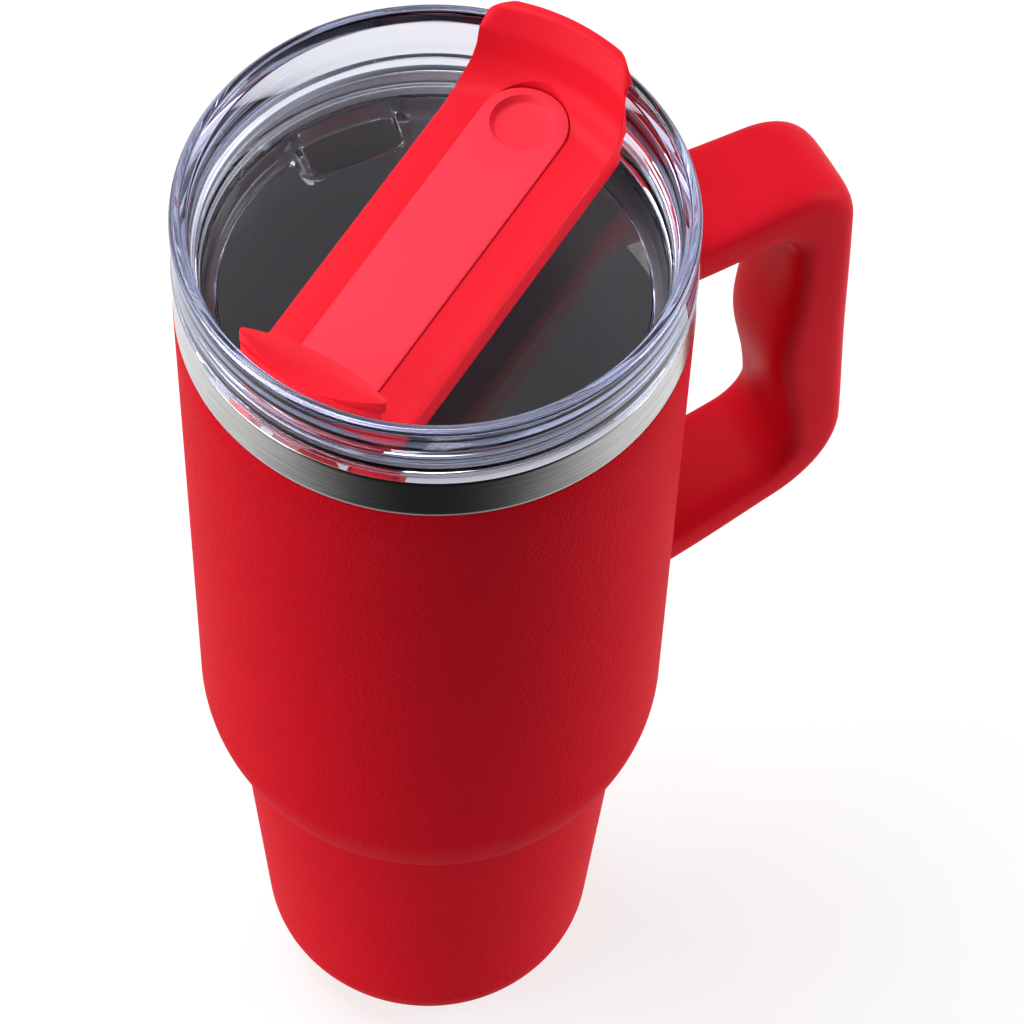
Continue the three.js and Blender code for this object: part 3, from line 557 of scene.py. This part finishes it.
# ------------------------------------------------------------------ handle
def handle_lines(inset):
    """Outer and palm outlines of the handle's side view, as matching lists of points."""
    tilt = math.hypot(1, LOWER_SLOPE)

    def under(x):
        return LOWER_Z + LOWER_SLOPE * (x - HANDLE_ROOT_X) + inset * tilt

    def shelf(x):
        return under(x) + LOWER_THICKNESS - 2 * inset * tilt

    root, fade = 50, 22  # start of both lines inside the wall, and the way over which the swell fades
    top, ceiling = HANDLE_TOP_Z - inset, HANDLE_TOP_Z - HANDLE_TOP_THICKNESS + inset
    grip, grip_low = GRIP_X - inset, GRIP_LOW_X - inset
    palm, palm_low = GRIP_X - GRIP_THICKNESS + inset, GRIP_LOW_X - GRIP_THICKNESS + inset
    outer = rounded_path(
        [(root, top), (grip, top), (grip_low, under(grip_low)), (root, under(root))],
        (14 - inset, 22 - inset),
    )
    palm_line = rounded_path(
        [(root, ceiling), (palm, ceiling), (palm_low, shelf(palm_low)), (root, shelf(root))],
        (9.5 + inset, 9 + inset),
    )
    reach = palm - fade
    swell = BUMP_HEIGHT * np.exp(-(((palm_line[:, 1] - BUMP_Z) / BUMP_SPREAD) ** 2))
    palm_line[:, 0] -= swell * np.clip((palm_line[:, 0] - reach) / fade, 0, 1)
    return outer, palm_line


def rounded_path(corners, radii, arc_steps=14, line_steps=(18, 34, 18)):
    """A three-sided path with two rounded corners, with the same number of points whatever its size."""
    corners = [Vector(c) for c in corners]
    arcs = []
    for i, radius in enumerate(radii):
        before, corner, after = corners[i : i + 3]
        u, v = (before - corner).normalized(), (after - corner).normalized()
        half = math.acos(u.dot(v)) / 2
        reach = radius / math.tan(half)
        centre = corner + (u + v).normalized() * math.hypot(reach, radius)
        first, last = corner + u * reach - centre, corner + v * reach - centre
        arcs.append([centre + first.slerp(last, k / arc_steps) * radius for k in range(arc_steps + 1)])
    ends = [(corners[0], arcs[0][0]), (arcs[0][-1], arcs[1][0]), (arcs[1][-1], corners[3])]
    lines = [[a.lerp(b, k / n) for k in range(1, n)] for (a, b), n in zip(ends, line_steps)]
    points = [corners[0], *lines[0], *arcs[0], *lines[1], *arcs[1], *lines[2], corners[3]]
    return np.array([tuple(p) for p in points])


def body_x(y, z):
    """Distance from the axis plane to the coat at a point beside the handle's middle."""
    return math.sqrt(upper_radius(z) ** 2 - y * y)


def handle_cover():
    """The soft sleeve: an outer and an inner surface of squarish section, open where it meets the mug."""
    sides = 56
    angles = np.linspace(0, 2 * math.pi, sides, endpoint=False)
    power = 2 / HANDLE_POWER
    across = np.sign(np.cos(angles)) * np.abs(np.cos(angles)) ** power
    along_y = np.sign(np.sin(angles)) * np.abs(np.sin(angles)) ** power
    vertices, faces, starts = [], [], []
    for inset in (0, SLEEVE):
        outer, palm = handle_lines(inset)
        starts.append(len(vertices))
        for (x0, z0), (x1, z1) in zip(outer, palm):
            for a, b in zip(across, along_y):
                x = (x0 + x1) / 2 + (x0 - x1) / 2 * a
                z = (z0 + z1) / 2 + (z0 - z1) / 2 * a
                near_root = (ROOT_WIDENING_X - x) / (ROOT_WIDENING_X - HANDLE_ROOT_X)
                y = (HANDLE_WIDTH / 2 + ROOT_WIDENING * smoothstep(near_root) - inset) * b
                vertices.append((max(x, body_x(y, z) - 0.05), y, z))
    stations = len(outer)
    for start in starts:
        faces += ring_faces(stations, sides, start)
    for s in (0, stations - 1):
        a, b = starts[0] + s * sides, starts[1] + s * sides
        faces += [(a + k, a + (k + 1) % sides, b + (k + 1) % sides, b + k) for k in range(sides)]
    return new_object("handle_sleeve", vertices, faces)


def fixing_places():
    """Screw axis and arm thickness of each arm: a matrix from the arm's frame, and its thickness."""
    tilt = math.atan(LOWER_SLOPE)
    screw_x = 62.0
    lower_z = LOWER_Z + LOWER_SLOPE * (screw_x - HANDLE_ROOT_X) + LOWER_THICKNESS / 2
    places = {}
    for side, angle, z, thickness in (
        ("upper", 0, HANDLE_TOP_Z - HANDLE_TOP_THICKNESS / 2, HANDLE_TOP_THICKNESS),
        ("lower", tilt, lower_z, LOWER_THICKNESS * math.cos(tilt)),
    ):
        move = Matrix.Translation(Vector((screw_x, 0, z)) * MM) @ Matrix.Rotation(-angle, 4, "Y")
        places[side] = (move, thickness)
    return places


def screw_cap(side, thickness):
    bottom = -thickness / 2 + 0.1
    profile = filleted([
        (0, bottom + 0.25), (1.2, bottom + 0.25), (1.5, bottom, 0.1), (3.55, bottom, 0.3),
        (3.55, bottom + 0.85), (0, bottom + 0.85),
    ], closed=False)
    return turned("screw_cap_plug_" + side, profile, SMALL_STEPS)


# ------------------------------------------------------------------ lid
def ramp_lift(r, z, angle):
    """The floor and the foot of the wall rise like a spout round the sip opening."""
    turn = abs((angle - SIP_AZIMUTH + math.pi) % (2 * math.pi) - math.pi)
    side = 1 - smoothstep((math.degrees(turn) - 15.5) / 3.0)
    target = FLOOR_TOP_Z + RAMP_SLOPE * (r - SIP_INNER)
    inside = FLOOR_TOP_Z - 0.01 <= z <= target and SIP_INNER < r < 47.6
    return (target - z) * side if inside else 0


def lid_body():
    """The clear lid: floor, walls, stop ring, pivot hole, and the sip opening in its spout."""
    crest, inner_crest = 1.2, 0.7
    floor_radii = (44.0, 42.5, 41, 39.5, 38, 37.2, 36.8, 36.4, 36, 34, 28, 20, 13)
    floor_rings = [(r, FLOOR_TOP_Z) for r in floor_radii]
    outline = filleted([
        (44.6, FLOOR_BOTTOM_Z, 1.5), (47.6, FLOOR_BOTTOM_Z + 1.2, 1.5), (48.8, FLOOR_BOTTOM_Z + 4.4, 0.5),
        (49.7, 238.9, 0.2), (49.7, 239.2), (48.4, 239.2, 0.2), (48.4, 242.8, 0.2), (49.7, 242.8),
        (49.7, LID_SEAT_Z, 0.3), (53.2, LID_SEAT_Z, 0.4), (53.3, 249.0, 0.6), (53.05, 249.5, 0.4),
        (53.3, 261, 3.0), (53.45, LID_TOP_Z, crest), (51.2, LID_TOP_Z, inner_crest), (49.9, 261.4, 2.0),
        (49.1, 252.4, 0.5), (48.45, 251.4, 0.5), (47.2, 241.4, 2.0), (46.0, 237.6, 1.6),
        (44.2, FLOOR_TOP_Z, 1.2),
    ])
    profile = [(0, FLOOR_BOTTOM_Z), (12, FLOOR_BOTTOM_Z)] + outline + floor_rings + [(0, FLOOR_TOP_Z)]
    lid = turned("clear_lid", profile, 384, ramp_lift)
    stop = sector_slab("stop", 9.6, 12.8, 191, 435.1, FLOOR_TOP_Z - 0.5, 239.4)
    join(lid, stop)
    hole = slab("pivot_hole", circle(PIVOT_HOLE, 48), FLOOR_BOTTOM_Z - 2, FLOOR_TOP_Z + 2)
    mouth = slab("sip_mouth", sip_outline(), FLOOR_BOTTOM_Z - 2, FLOOR_TOP_Z + 8)
    return join(cut(lid, hole, spun(mouth, SIP_AZIMUTH)), sip_rim())


def sector_slab(name, inner, outer, start, end, z0, z1):
    steps = max(4, int((end - start) / 5))
    outer_arc, inner_arc = arc(0, 0, outer, start, end, steps), arc(0, 0, inner, start, end, steps)
    vertices = [(*p, z) for z in (z0, z1) for p in outer_arc + inner_arc]
    count, half = 2 * (steps + 1), steps + 1
    faces = []
    for k in range(steps):
        a, b, c, d = k, k + 1, half + k + 1, half + k
        faces += [(a, b, c, d), (a + count, b + count, c + count, d + count)]
        faces += [(a, b, b + count, a + count), (d, c, c + count, d + count)]
    for a, b in ((0, half), (steps, half + steps)):
        faces.append((a, b, b + count, a + count))
    return new_object(name, vertices, faces)


def sip_outline():
    """The sip opening in plan, with x pointing out along its azimuth."""
    corner, outer_corner = 2.2, 2.0
    outer_half = math.asin((SIP_HALF_WIDTH - 1) / SIP_OUTER)
    return filleted([
        (SIP_INNER, -SIP_HALF_WIDTH, corner),
        (SIP_OUTER * math.cos(outer_half) + 0.2, -SIP_HALF_WIDTH, outer_corner),
        *arc(0, 0, SIP_OUTER, -math.degrees(outer_half) + 4, math.degrees(outer_half) - 4, 10),
        (SIP_OUTER * math.cos(outer_half) + 0.2, SIP_HALF_WIDTH, outer_corner),
        (SIP_INNER, SIP_HALF_WIDTH, corner),
    ])


def sip_rim():
    """A rounded bead round the top edge of the sip opening, mostly sunk into the floor."""
    radius, sides, sunk, spacing = 0.4, 10, 0.25, 1.5
    path = []
    corners = [Vector(point) for point in sip_outline()]
    for start, end in zip(corners, corners[1:] + corners[:1]):
        steps = max(1, round((end - start).length / spacing))
        for k in range(steps):
            x, y = start.lerp(end, k / steps)
            lift = ramp_lift(math.hypot(x, y), FLOOR_TOP_Z, SIP_AZIMUTH + math.atan2(y, x))
            path.append(Vector((x, y, FLOOR_TOP_Z + lift - sunk)))
    vertices = []
    for i, point in enumerate(path):
        along = (path[(i + 1) % len(path)] - path[i - 1]).normalized()
        across = along.cross(Vector((0, 0, 1))).normalized()
        up = across.cross(along)
        for k in range(sides):
            angle = 2 * math.pi * k / sides
            spoke = across * math.cos(angle) + up * math.sin(angle)
            vertices.append(tuple(point + spoke * radius))
    rim = new_object("sip_rim", vertices, ring_faces(len(path), sides, closed=True))
    return spun(rim, SIP_AZIMUTH)


def lid_gasket():
    profile = filleted([
        (48.6, 239.5, 0.3), (49.8, 239.5, 0.2), (50.45, 240.1, 0.15), (49.9, 240.6, 0.2), (49.9, 241.4, 0.2),
        (50.45, 241.9, 0.15), (49.8, 242.5, 0.2), (48.6, 242.5, 0.3),
    ])
    return turned("lid_gasket_ring", profile)


# ------------------------------------------------------------------ cover bar, slider and pivot
def strip_outline(radius, half_width, corner, steps=20):
    """A strip along X with both ends on a circle about the axis and rounded corners, counter-clockwise."""
    fillet_x = math.sqrt((radius - corner) ** 2 - (half_width - corner) ** 2)
    edge = math.degrees(math.atan2(half_width - corner, fillet_x))
    right = arc(fillet_x, -(half_width - corner), corner, -90, -edge, 5)
    right += arc(0, 0, radius, -edge, edge, steps)[1:-1]
    right += arc(fillet_x, half_width - corner, corner, edge, 90, 5)
    return right + [(-x, -y) for x, y in right]


def tongue_outline(start_x, half_width, corner):
    """A strip from start_x to a round end about the channel's end."""
    outline = arc(CHANNEL_END_X, 0, half_width, -90, 90, 36)
    x, y = start_x + corner, half_width - corner
    return outline + arc(x, y, corner, 90, 180, 5) + arc(x, -y, corner, 180, 270, 5)


def lens_outline(chord_x, radius, tip=0.6):
    """The end tab's plan: between a circle about the axis and a bulged chord, with rounded tips."""
    bulge_x = chord_x - TAB_BULGE
    outer, inner = radius - tip, TAB_BULGE - tip
    tip_x = (inner**2 - outer**2 - bulge_x**2) / (-2 * bulge_x)
    tip_y = math.sqrt(outer**2 - tip_x**2)
    outer_edge = math.degrees(math.atan2(tip_y, tip_x))
    chord_edge = math.degrees(math.atan2(tip_y, tip_x - bulge_x))
    points = arc(bulge_x, 0, TAB_BULGE, -chord_edge, chord_edge, 24)
    points += arc(tip_x, tip_y, tip, chord_edge, outer_edge, 8)[1:-1]
    points += arc(0, 0, radius, outer_edge, 360 - outer_edge, 24)
    points += arc(tip_x, -tip_y, tip, -outer_edge, -chord_edge, 8)[1:-1]
    return points


def tab_lip():
    """The tab's lens-shaped top: it falls towards the lid's wall and overhangs the tab's own wall."""
    outline = lens_outline(TAB_CHORD_X, TAB_RADIUS)
    levels = [(0.95, TAB_LIP_Z), (0.985, TAB_LIP_Z + 0.1), (1.0, TAB_LIP_Z + 0.35), (1.0, TAB_TOP_Z - 0.5)]
    levels += [(share, TAB_TOP_Z) for share in (0.975, 0.93, 0.85, 0.7, 0.5, 0.3, 0.1)]
    bulge_x = TAB_CHORD_X - TAB_BULGE
    vertices = []
    for share, z in levels:
        for x, y in outline:
            chord_x = bulge_x + math.sqrt(TAB_BULGE**2 - y * y)
            rim_x = -math.sqrt(TAB_RADIUS**2 - y * y)
            middle = (chord_x + rim_x) / 2
            new_x = middle + (x - middle) * share
            outwards = max(0.0, chord_x - new_x)
            surface = TAB_TOP_Z - 0.24 * outwards - 0.04 * outwards**2
            vertices.append((new_x, y * (1 - (1 - share) * 0.08), min(z, surface)))
    faces = ring_faces(len(levels), len(outline)) + end_faces(len(levels), len(outline))
    return new_object("tab_lip", vertices, faces)


def flare():
    """The flared end: it sweeps up from the plate along the lid's wall and leans out over the crest."""
    foot, lip_foot = BAR_TOP_Z - 1.5, 264.4
    sweep = arc(SWEEP_R, BAR_TOP_Z + SWEEP_RADIUS, SWEEP_RADIUS, -5, -89.9, 16)
    section = filleted([
        (SWEEP_R - 0.4, foot), (46.9, foot), (46.9, 251.5, 0.3), (48.4, 252.6, 0.6),
        (48.8, 261.5, 2.0), (49.9, 264.9, 0.6), (51.2, 265.3, 0.6), (53.9, 266.8, 1.0),
        (53.4, FLARE_TOP_Z + 0.1, 1.2), (50.9, FLARE_TOP_Z - 0.1, 1.3), (48.1, 263.0, 5.0),
        *sweep, (SWEEP_R - 0.4, BAR_TOP_Z - 0.01),
    ])
    across = np.sin(np.linspace(-math.pi / 2, math.pi / 2, 65))
    count = len(section)
    vertices = []
    for u in across:
        into_corner = max(0.0, (abs(u) - 1) * BAR_HALF_WIDTH + FLARE_CORNER)
        drop = FLARE_CORNER - math.sqrt(max(0.0, FLARE_CORNER**2 - into_corner**2)) + FLARE_ARCH * u * u
        for r, z in section:
            y = u * (BAR_HALF_WIDTH - 0.02 - FLARE_NARROWING * smoothstep((z - BAR_TOP_Z) / 8))
            height = max(0.0, min(1.0, (z - lip_foot) / (FLARE_TOP_Z - lip_foot)))
            reach = r - max(0.0, r - 51.2) * smoothstep((abs(u) - 0.7) / 0.3)
            vertices.append((math.sqrt(reach * reach - y * y), y, z - drop * height))
    faces = ring_faces(len(across), count) + end_faces(len(across), count)
    obj = new_object("flare", vertices, faces)
    round_caps(obj, 0.6)
    return obj


def round_caps(obj, radius):
    """Rounds the edges round the flat side faces of the flare."""
    work = bmesh.new()
    work.from_mesh(obj.data)
    caps = [f for f in work.faces if len(f.verts) > 8]
    above = (BAR_TOP_Z + 0.5) * MM
    edges = list({e for f in caps for e in f.edges if min(v.co.z for v in e.verts) > above})
    bmesh.ops.bevel(
        work, geom=edges, offset=radius * MM, segments=4, profile=0.5, affect="EDGES", clamp_overlap=True
    )
    bmesh.ops.recalc_face_normals(work, faces=work.faces)
    work.to_mesh(obj.data)
    work.free()


def cover_bar():
    wall_thickness = 1.8
    outline = strip_outline(BAR_END, BAR_HALF_WIDTH, 2.0)
    plate = slab("cover_bar_body", outline, BAR_SKIRT_Z, BAR_TOP_Z, 0.8, 0.3)
    hollow = strip_outline(BAR_END - wall_thickness, BAR_HALF_WIDTH - wall_thickness, 1.0)
    cut(plate, slab("hollow", hollow, BAR_SKIRT_Z - 1, BAR_UNDER_Z))
    wall_lens = lens_outline(TAB_CHORD_X - 1.0, TAB_RADIUS + 0.5)
    foot_lens = lens_outline(TAB_CHORD_X - 1.2, BAR_END)
    join(
        plate,
        shifted(slab("tab_foot", foot_lens, BAR_TOP_Z - 2, BAR_TOP_Z + 1.4), 0.3, TAB_Y),
        shifted(slab("tab_wall", wall_lens, BAR_TOP_Z + 1.2, TAB_LIP_Z + 0.3), 0, TAB_Y),
        shifted(tab_lip(), 0, TAB_Y),
        flare(),
        slab("hub", circle(9, 60), HUB_FOOT_Z, BAR_UNDER_Z + 0.2, 0, 0.4),
        slab("stem", circle(5.2, 48), 232.3, HUB_FOOT_Z + 0.2),
        sector_slab("lug", 8.5, 12.4, 78, 102, HUB_FOOT_Z, 239.8),
    )
    past_end = -52  # beyond the bar's end under the tab
    ledge = tongue_box(past_end, CHANNEL_END_X, CHANNEL_HALF_WIDTH + 1.4)
    channel = (
        slab("channel", tongue_outline(past_end, CHANNEL_HALF_WIDTH, 1), CHANNEL_FLOOR_Z, SLIDER_TOP_Z + 0.3),
        slab("pocket_end", pocket_outline(), CHANNEL_FLOOR_Z + 0.01, 258),
        slab("ledge", ledge, CHANNEL_FLOOR_Z, CHANNEL_LEDGE_Z),
        slab("straw", circle(STRAW_RADIUS, 48, STRAW_X), BAR_UNDER_Z - 1, CHANNEL_FLOOR_Z + 1),
    )
    cut(plate, *(shifted(part, 0, CHANNEL_Y) for part in channel))
    cut(plate, slab("screw", circle(1.4, 24), 231, 240.6))
    return spun(plate, BAR_ANGLE)


def tongue_box(x0, x1, half_width):
    """A rectangle along X."""
    return [(x0, -half_width), (x1, -half_width), (x1, half_width), (x0, half_width)]


def pocket_outline():
    """The channel's round end, which is also cut into the foot of the flare."""
    back_x = 20
    end = arc(CHANNEL_END_X, 0, CHANNEL_HALF_WIDTH, -90, 90, 36)
    return end + [(back_x, CHANNEL_HALF_WIDTH), (back_x, -CHANNEL_HALF_WIDTH)]


def straw_slider():
    outline = tongue_outline(SLIDER_TAIL_X, SLIDER_HALF_WIDTH, 2.0)
    slider = slab("straw_slider_tongue", outline, SLIDER_BOTTOM_Z, SLIDER_TOP_Z, 0.3, 0.2)
    flange = tongue_box(SLIDER_TAIL_X + 4, CHANNEL_END_X - 2, 10.8)
    join(slider, slab("flange", flange, SLIDER_BOTTOM_Z, SLIDER_BOTTOM_Z + 1))
    dish = turned("dish", filleted([
        (0, SLIDER_TOP_Z - 1.7), (6.1, SLIDER_TOP_Z - 1.7, 0.7), (6.9, SLIDER_TOP_Z - 0.3, 0.3),
        (7.2, SLIDER_TOP_Z + 0.3), (7.2, SLIDER_TOP_Z + 2), (0, SLIDER_TOP_Z + 2),
    ], closed=False), 96)
    shifted(dish, DISH_X, 0)
    pocket = slab("pocket", circle(6.1, 60, SEAL_X), SLIDER_BOTTOM_Z - 1, SLIDER_BOTTOM_Z + 1.4)
    return spun(shifted(cut(slider, dish, pocket), 0, CHANNEL_Y), BAR_ANGLE)


def slider_seal():
    outline = circle(5.8, 60, SEAL_X)
    pad = slab("straw_hole_seal", outline, SLIDER_BOTTOM_Z, SLIDER_BOTTOM_Z + 1.1, 0.2, 0.3)
    return spun(shifted(pad, 0, CHANNEL_Y), BAR_ANGLE)


def sip_seal():
    """The soft plug under the bar; its face follows the floor's rise towards the wall."""
    lift, inner, outer, neck = 0.45, 35.0, 46.4, 44.6
    top, flange = BAR_UNDER_Z - 0.1, BAR_SKIRT_Z - 0.4
    face_z = FLOOR_TOP_Z + lift
    section = filleted([
        (inner, face_z, 0.4), (SIP_INNER, face_z, 0.4),
        (outer, face_z + RAMP_SLOPE * (outer - SIP_INNER), 0.5),
        (outer, flange, 0.4), (neck, flange, 0.3), (neck, top), (inner, top),
    ])
    half_width = 12
    across = np.linspace(-half_width, half_width, 33)
    count = len(section)
    vertices = [(math.sqrt(r * r - y * y), y, z) for y in across for r, z in section]
    faces = end_faces(len(across), count) + ring_faces(len(across), count)
    plug = new_object("sip_plug", vertices, faces)
    hole = slab("hole", circle(STRAW_RADIUS, 48, STRAW_X, CHANNEL_Y), FLOOR_TOP_Z - 1, BAR_TOP_Z)
    return spun(cut(plug, hole), BAR_ANGLE)


def pivot_cap():
    bottom, top = 229.6, 232.0
    profile = filleted([
        (3.1, bottom, 0.3), (9.5, bottom, 0.6), (9.5, top - 0.8, 0.4), (8.6, top),
        (1.4, top), (1.4, top - 1), (3.1, top - 1),
    ])
    return turned("pivot_nut", profile, SMALL_STEPS)


def pivot_ring():
    return turned("pivot_o_ring", circle(0.8, 48, PIVOT_HOLE + 0.95, 233.1), SMALL_STEPS)


# ------------------------------------------------------------------ camera, floor and light
VIEW = {"azimuth": 29.49, "elevation": 56.03, "roll": 1.61, "distance": 1.615, "lens": 263.67}
AIM = Vector((0.02343, 0.00716, 0.132))


def view_axes():
    """Right, up and forward of the camera."""
    azimuth, elevation, roll = (math.radians(VIEW[k]) for k in ("azimuth", "elevation", "roll"))
    flat = Vector((math.sin(azimuth), math.cos(azimuth), 0))
    forward = flat * math.cos(elevation) - Vector((0, 0, math.sin(elevation)))
    level = Vector((flat.y, -flat.x, 0))
    upright = level.cross(forward)
    right = level * math.cos(roll) + upright * math.sin(roll)
    return right, right.cross(forward), forward, flat, level


def add_camera():
    right, up, forward, _, _ = view_axes()
    data = bpy.data.cameras.new("camera")
    data.lens = VIEW["lens"]
    data.sensor_width = 36
    data.clip_end = 50
    camera = bpy.data.objects.new("camera", data)
    bpy.context.scene.collection.objects.link(camera)
    place = AIM - forward * VIEW["distance"]
    camera.matrix_world = Matrix.Translation(place) @ Matrix((right, up, -forward)).transposed().to_4x4()
    bpy.context.scene.camera = camera


def add_floor():
    radius, drop = 0.4, 0.0002
    rim = [(x, y, 0) for x, y in circle(radius, 60)]
    mesh = bpy.data.meshes.new("floor")
    mesh.from_pydata(rim, [], [range(len(rim))])
    floor = bpy.data.objects.new("floor", mesh)
    floor.location = BASE - Vector((0, 0, drop))
    bpy.context.scene.collection.objects.link(floor)
    material, tree, shader = new_material("pale_floor")
    shader.inputs["Base Color"].default_value = (0.28, 0.28, 0.28, 1)
    shader.inputs["Roughness"].default_value = 0.9
    shader.inputs["Emission Color"].default_value = (1, 1, 1, 1)
    shader.inputs["Emission Strength"].default_value = 0.72
    mesh.materials.append(material)
    floor.visible_glossy = False


def add_light(name, place, aim, width, height, power):
    data = bpy.data.lights.new(name, "AREA")
    data.shape = "RECTANGLE"
    data.size, data.size_y = width, height
    data.energy = power
    light = bpy.data.objects.new(name, data)
    light.location = place
    light.rotation_euler = (Vector(aim) - Vector(place)).to_track_quat("-Z", "Y").to_euler()
    bpy.context.scene.collection.objects.link(light)


def add_lights():
    _, _, _, ahead, side = view_axes()
    high = Vector((0, 0, 1))
    centre = BASE + high * 0.15
    top = centre + high * 1.3 + ahead * 0.3 - side * 0.45
    left = centre - side * 1.1 - ahead * 0.42 + high * 0.35
    right = centre + side * 1.2 + ahead * 0.1 + high * 0.3
    add_light("top_softbox", top, centre, width=0.8, height=0.8, power=15.5)
    add_light("left_softbox", left, centre, width=0.9, height=1.1, power=13.5)
    add_light("right_softbox", right, centre, width=0.8, height=1.1, power=12)


def add_world():
    """A white studio, dark towards the viewer and dimmer overhead, plain white where it is seen directly."""
    _, _, _, ahead, _ = view_axes()
    world = bpy.data.worlds.new("studio")
    bpy.context.scene.world = world
    world.use_nodes = True
    tree = world.node_tree
    tree.nodes.clear()
    new, link = tree.nodes.new, tree.links.new
    direction = new("ShaderNodeTexCoord")
    dot = new("ShaderNodeVectorMath")
    dot.operation = "DOT_PRODUCT"
    dot.inputs[1].default_value = (*ahead.xy, 0.15)
    link(direction.outputs["Generated"], dot.inputs[0])
    shade = new("ShaderNodeValToRGB")
    levels = (
        (0.0, 0.01), (0.16, 0.01), (0.21, 0.07), (0.34, 0.45), (0.44, 0.75), (0.6, 0.92), (1.0, 1.0),
    )  # from towards the viewer to ahead
    shade.color_ramp.elements[0].position = levels[0][0]
    shade.color_ramp.elements[1].position = levels[-1][0]
    for position, level in levels[1:-1]:
        shade.color_ramp.elements.new(position)
    for element, (position, level) in zip(shade.color_ramp.elements, levels):
        element.color = (level, level, level * 1.01, 1)
    link(ramp(tree, dot.outputs["Value"], 0.0, 1.0, -1.0, 1.0), shade.inputs["Fac"])
    lit = new("ShaderNodeBackground")
    link(shade.outputs["Color"], lit.inputs["Color"])
    height = new("ShaderNodeSeparateXYZ")
    link(direction.outputs["Generated"], height.inputs["Vector"])
    darker_above = ramp(tree, height.outputs["Z"], 1.0, 0.35, 0.35, 0.75)
    path = new("ShaderNodeLightPath")
    # The studio lights matt surfaces less than it shows in glossy ones.
    softer = ramp(tree, path.outputs["Is Diffuse Ray"], 1.0, 0.6, 0.0, 1.0)
    strength = new("ShaderNodeMath")
    strength.operation = "MULTIPLY"
    link(darker_above, strength.inputs[0])
    link(softer, strength.inputs[1])
    link(strength.outputs["Value"], lit.inputs["Strength"])
    seen = new("ShaderNodeBackground")
    seen.inputs["Color"].default_value = (1, 1, 1, 1)
    mix = new("ShaderNodeMixShader")
    output = new("ShaderNodeOutputWorld")
    link(path.outputs["Is Camera Ray"], mix.inputs["Fac"])
    link(lit.outputs["Background"], mix.inputs[1])
    link(seen.outputs["Background"], mix.inputs[2])
    link(mix.outputs["Shader"], output.inputs["Surface"])


# ------------------------------------------------------------------ assembly
add_camera()
add_floor()
add_world()
add_lights()
bpy.context.scene.view_settings.view_transform = "Standard"

finish_piece(powder_coat(), MATERIALS["coat"], "cup", "red_powder_coat", "powder_coat", sharp=25)
finish_piece(outer_shell(), MATERIALS["band"], "cup", "steel", "outer_shell")
finish_piece(inner_liner(), MATERIALS["liner"], "cup", "liner_steel", "inner_liner")
finish_piece(outer_base(), MATERIALS["base"], "cup", "steel", "outer_base")
finish_piece(base_pad(), MATERIALS["rubber"], "cup", "base_rubber", "base_pad")

handle = handle_cover()
for arm, (place, arm_thickness) in fixing_places().items():
    under = -arm_thickness / 2
    drill = slab("drill", circle(CAP_HOLE, 60), under - 3, under + SLEEVE + 0.6)
    drill.data.transform(place)
    cut(handle, drill)
    plug = screw_cap(arm, arm_thickness)
    plug.data.transform(place)
    finish_piece(plug, MATERIALS["handle"], "cup", "handle_red", "screw_cap_" + arm)
finish_piece(handle, MATERIALS["handle"], "cup", "handle_red", "handle_cover", sharp=50)

lid = finish_piece(lid_body(), MATERIALS["clear"], "lid", "clear_plastic", "lid_body")
lid.visible_shadow = False  # light passes through the clear lid into the mug
finish_piece(lid_gasket(), MATERIALS["gasket"], "lid", "clear_silicone", "lid_gasket")
finish_piece(cover_bar(), MATERIALS["bar"], "bar", "bar_red", "cover_bar")
finish_piece(sip_seal(), MATERIALS["seal"], "bar", "seal_red", "sip_seal")
finish_piece(pivot_cap(), MATERIALS["bar"], "bar", "bar_red", "pivot_cap")
finish_piece(pivot_ring(), MATERIALS["gasket"], "bar", "clear_silicone", "pivot_ring")
finish_piece(straw_slider(), MATERIALS["slider"], "slider", "slider_red", "straw_slider")
finish_piece(slider_seal(), MATERIALS["seal"], "slider", "seal_red", "slider_seal")

# Pieces inside the mug keep their CAD shape and get their real material.
INNER_PIECES = {
    "copper_foil": "copper",
    "getter": "getter",
    "vacuum_seal": "solder",
    "handle_core": "core",
    "handle_bracket_upper": "steel",
    "handle_bracket_lower": "steel",
    "handle_screw_upper": "steel",
    "handle_screw_lower": "steel",
    "pivot_screw": "steel",
}
for node, key in INNER_PIECES.items():
    materials = frame["nodes"][node].data.materials
    materials.clear()
    materials.append(MATERIALS[key])
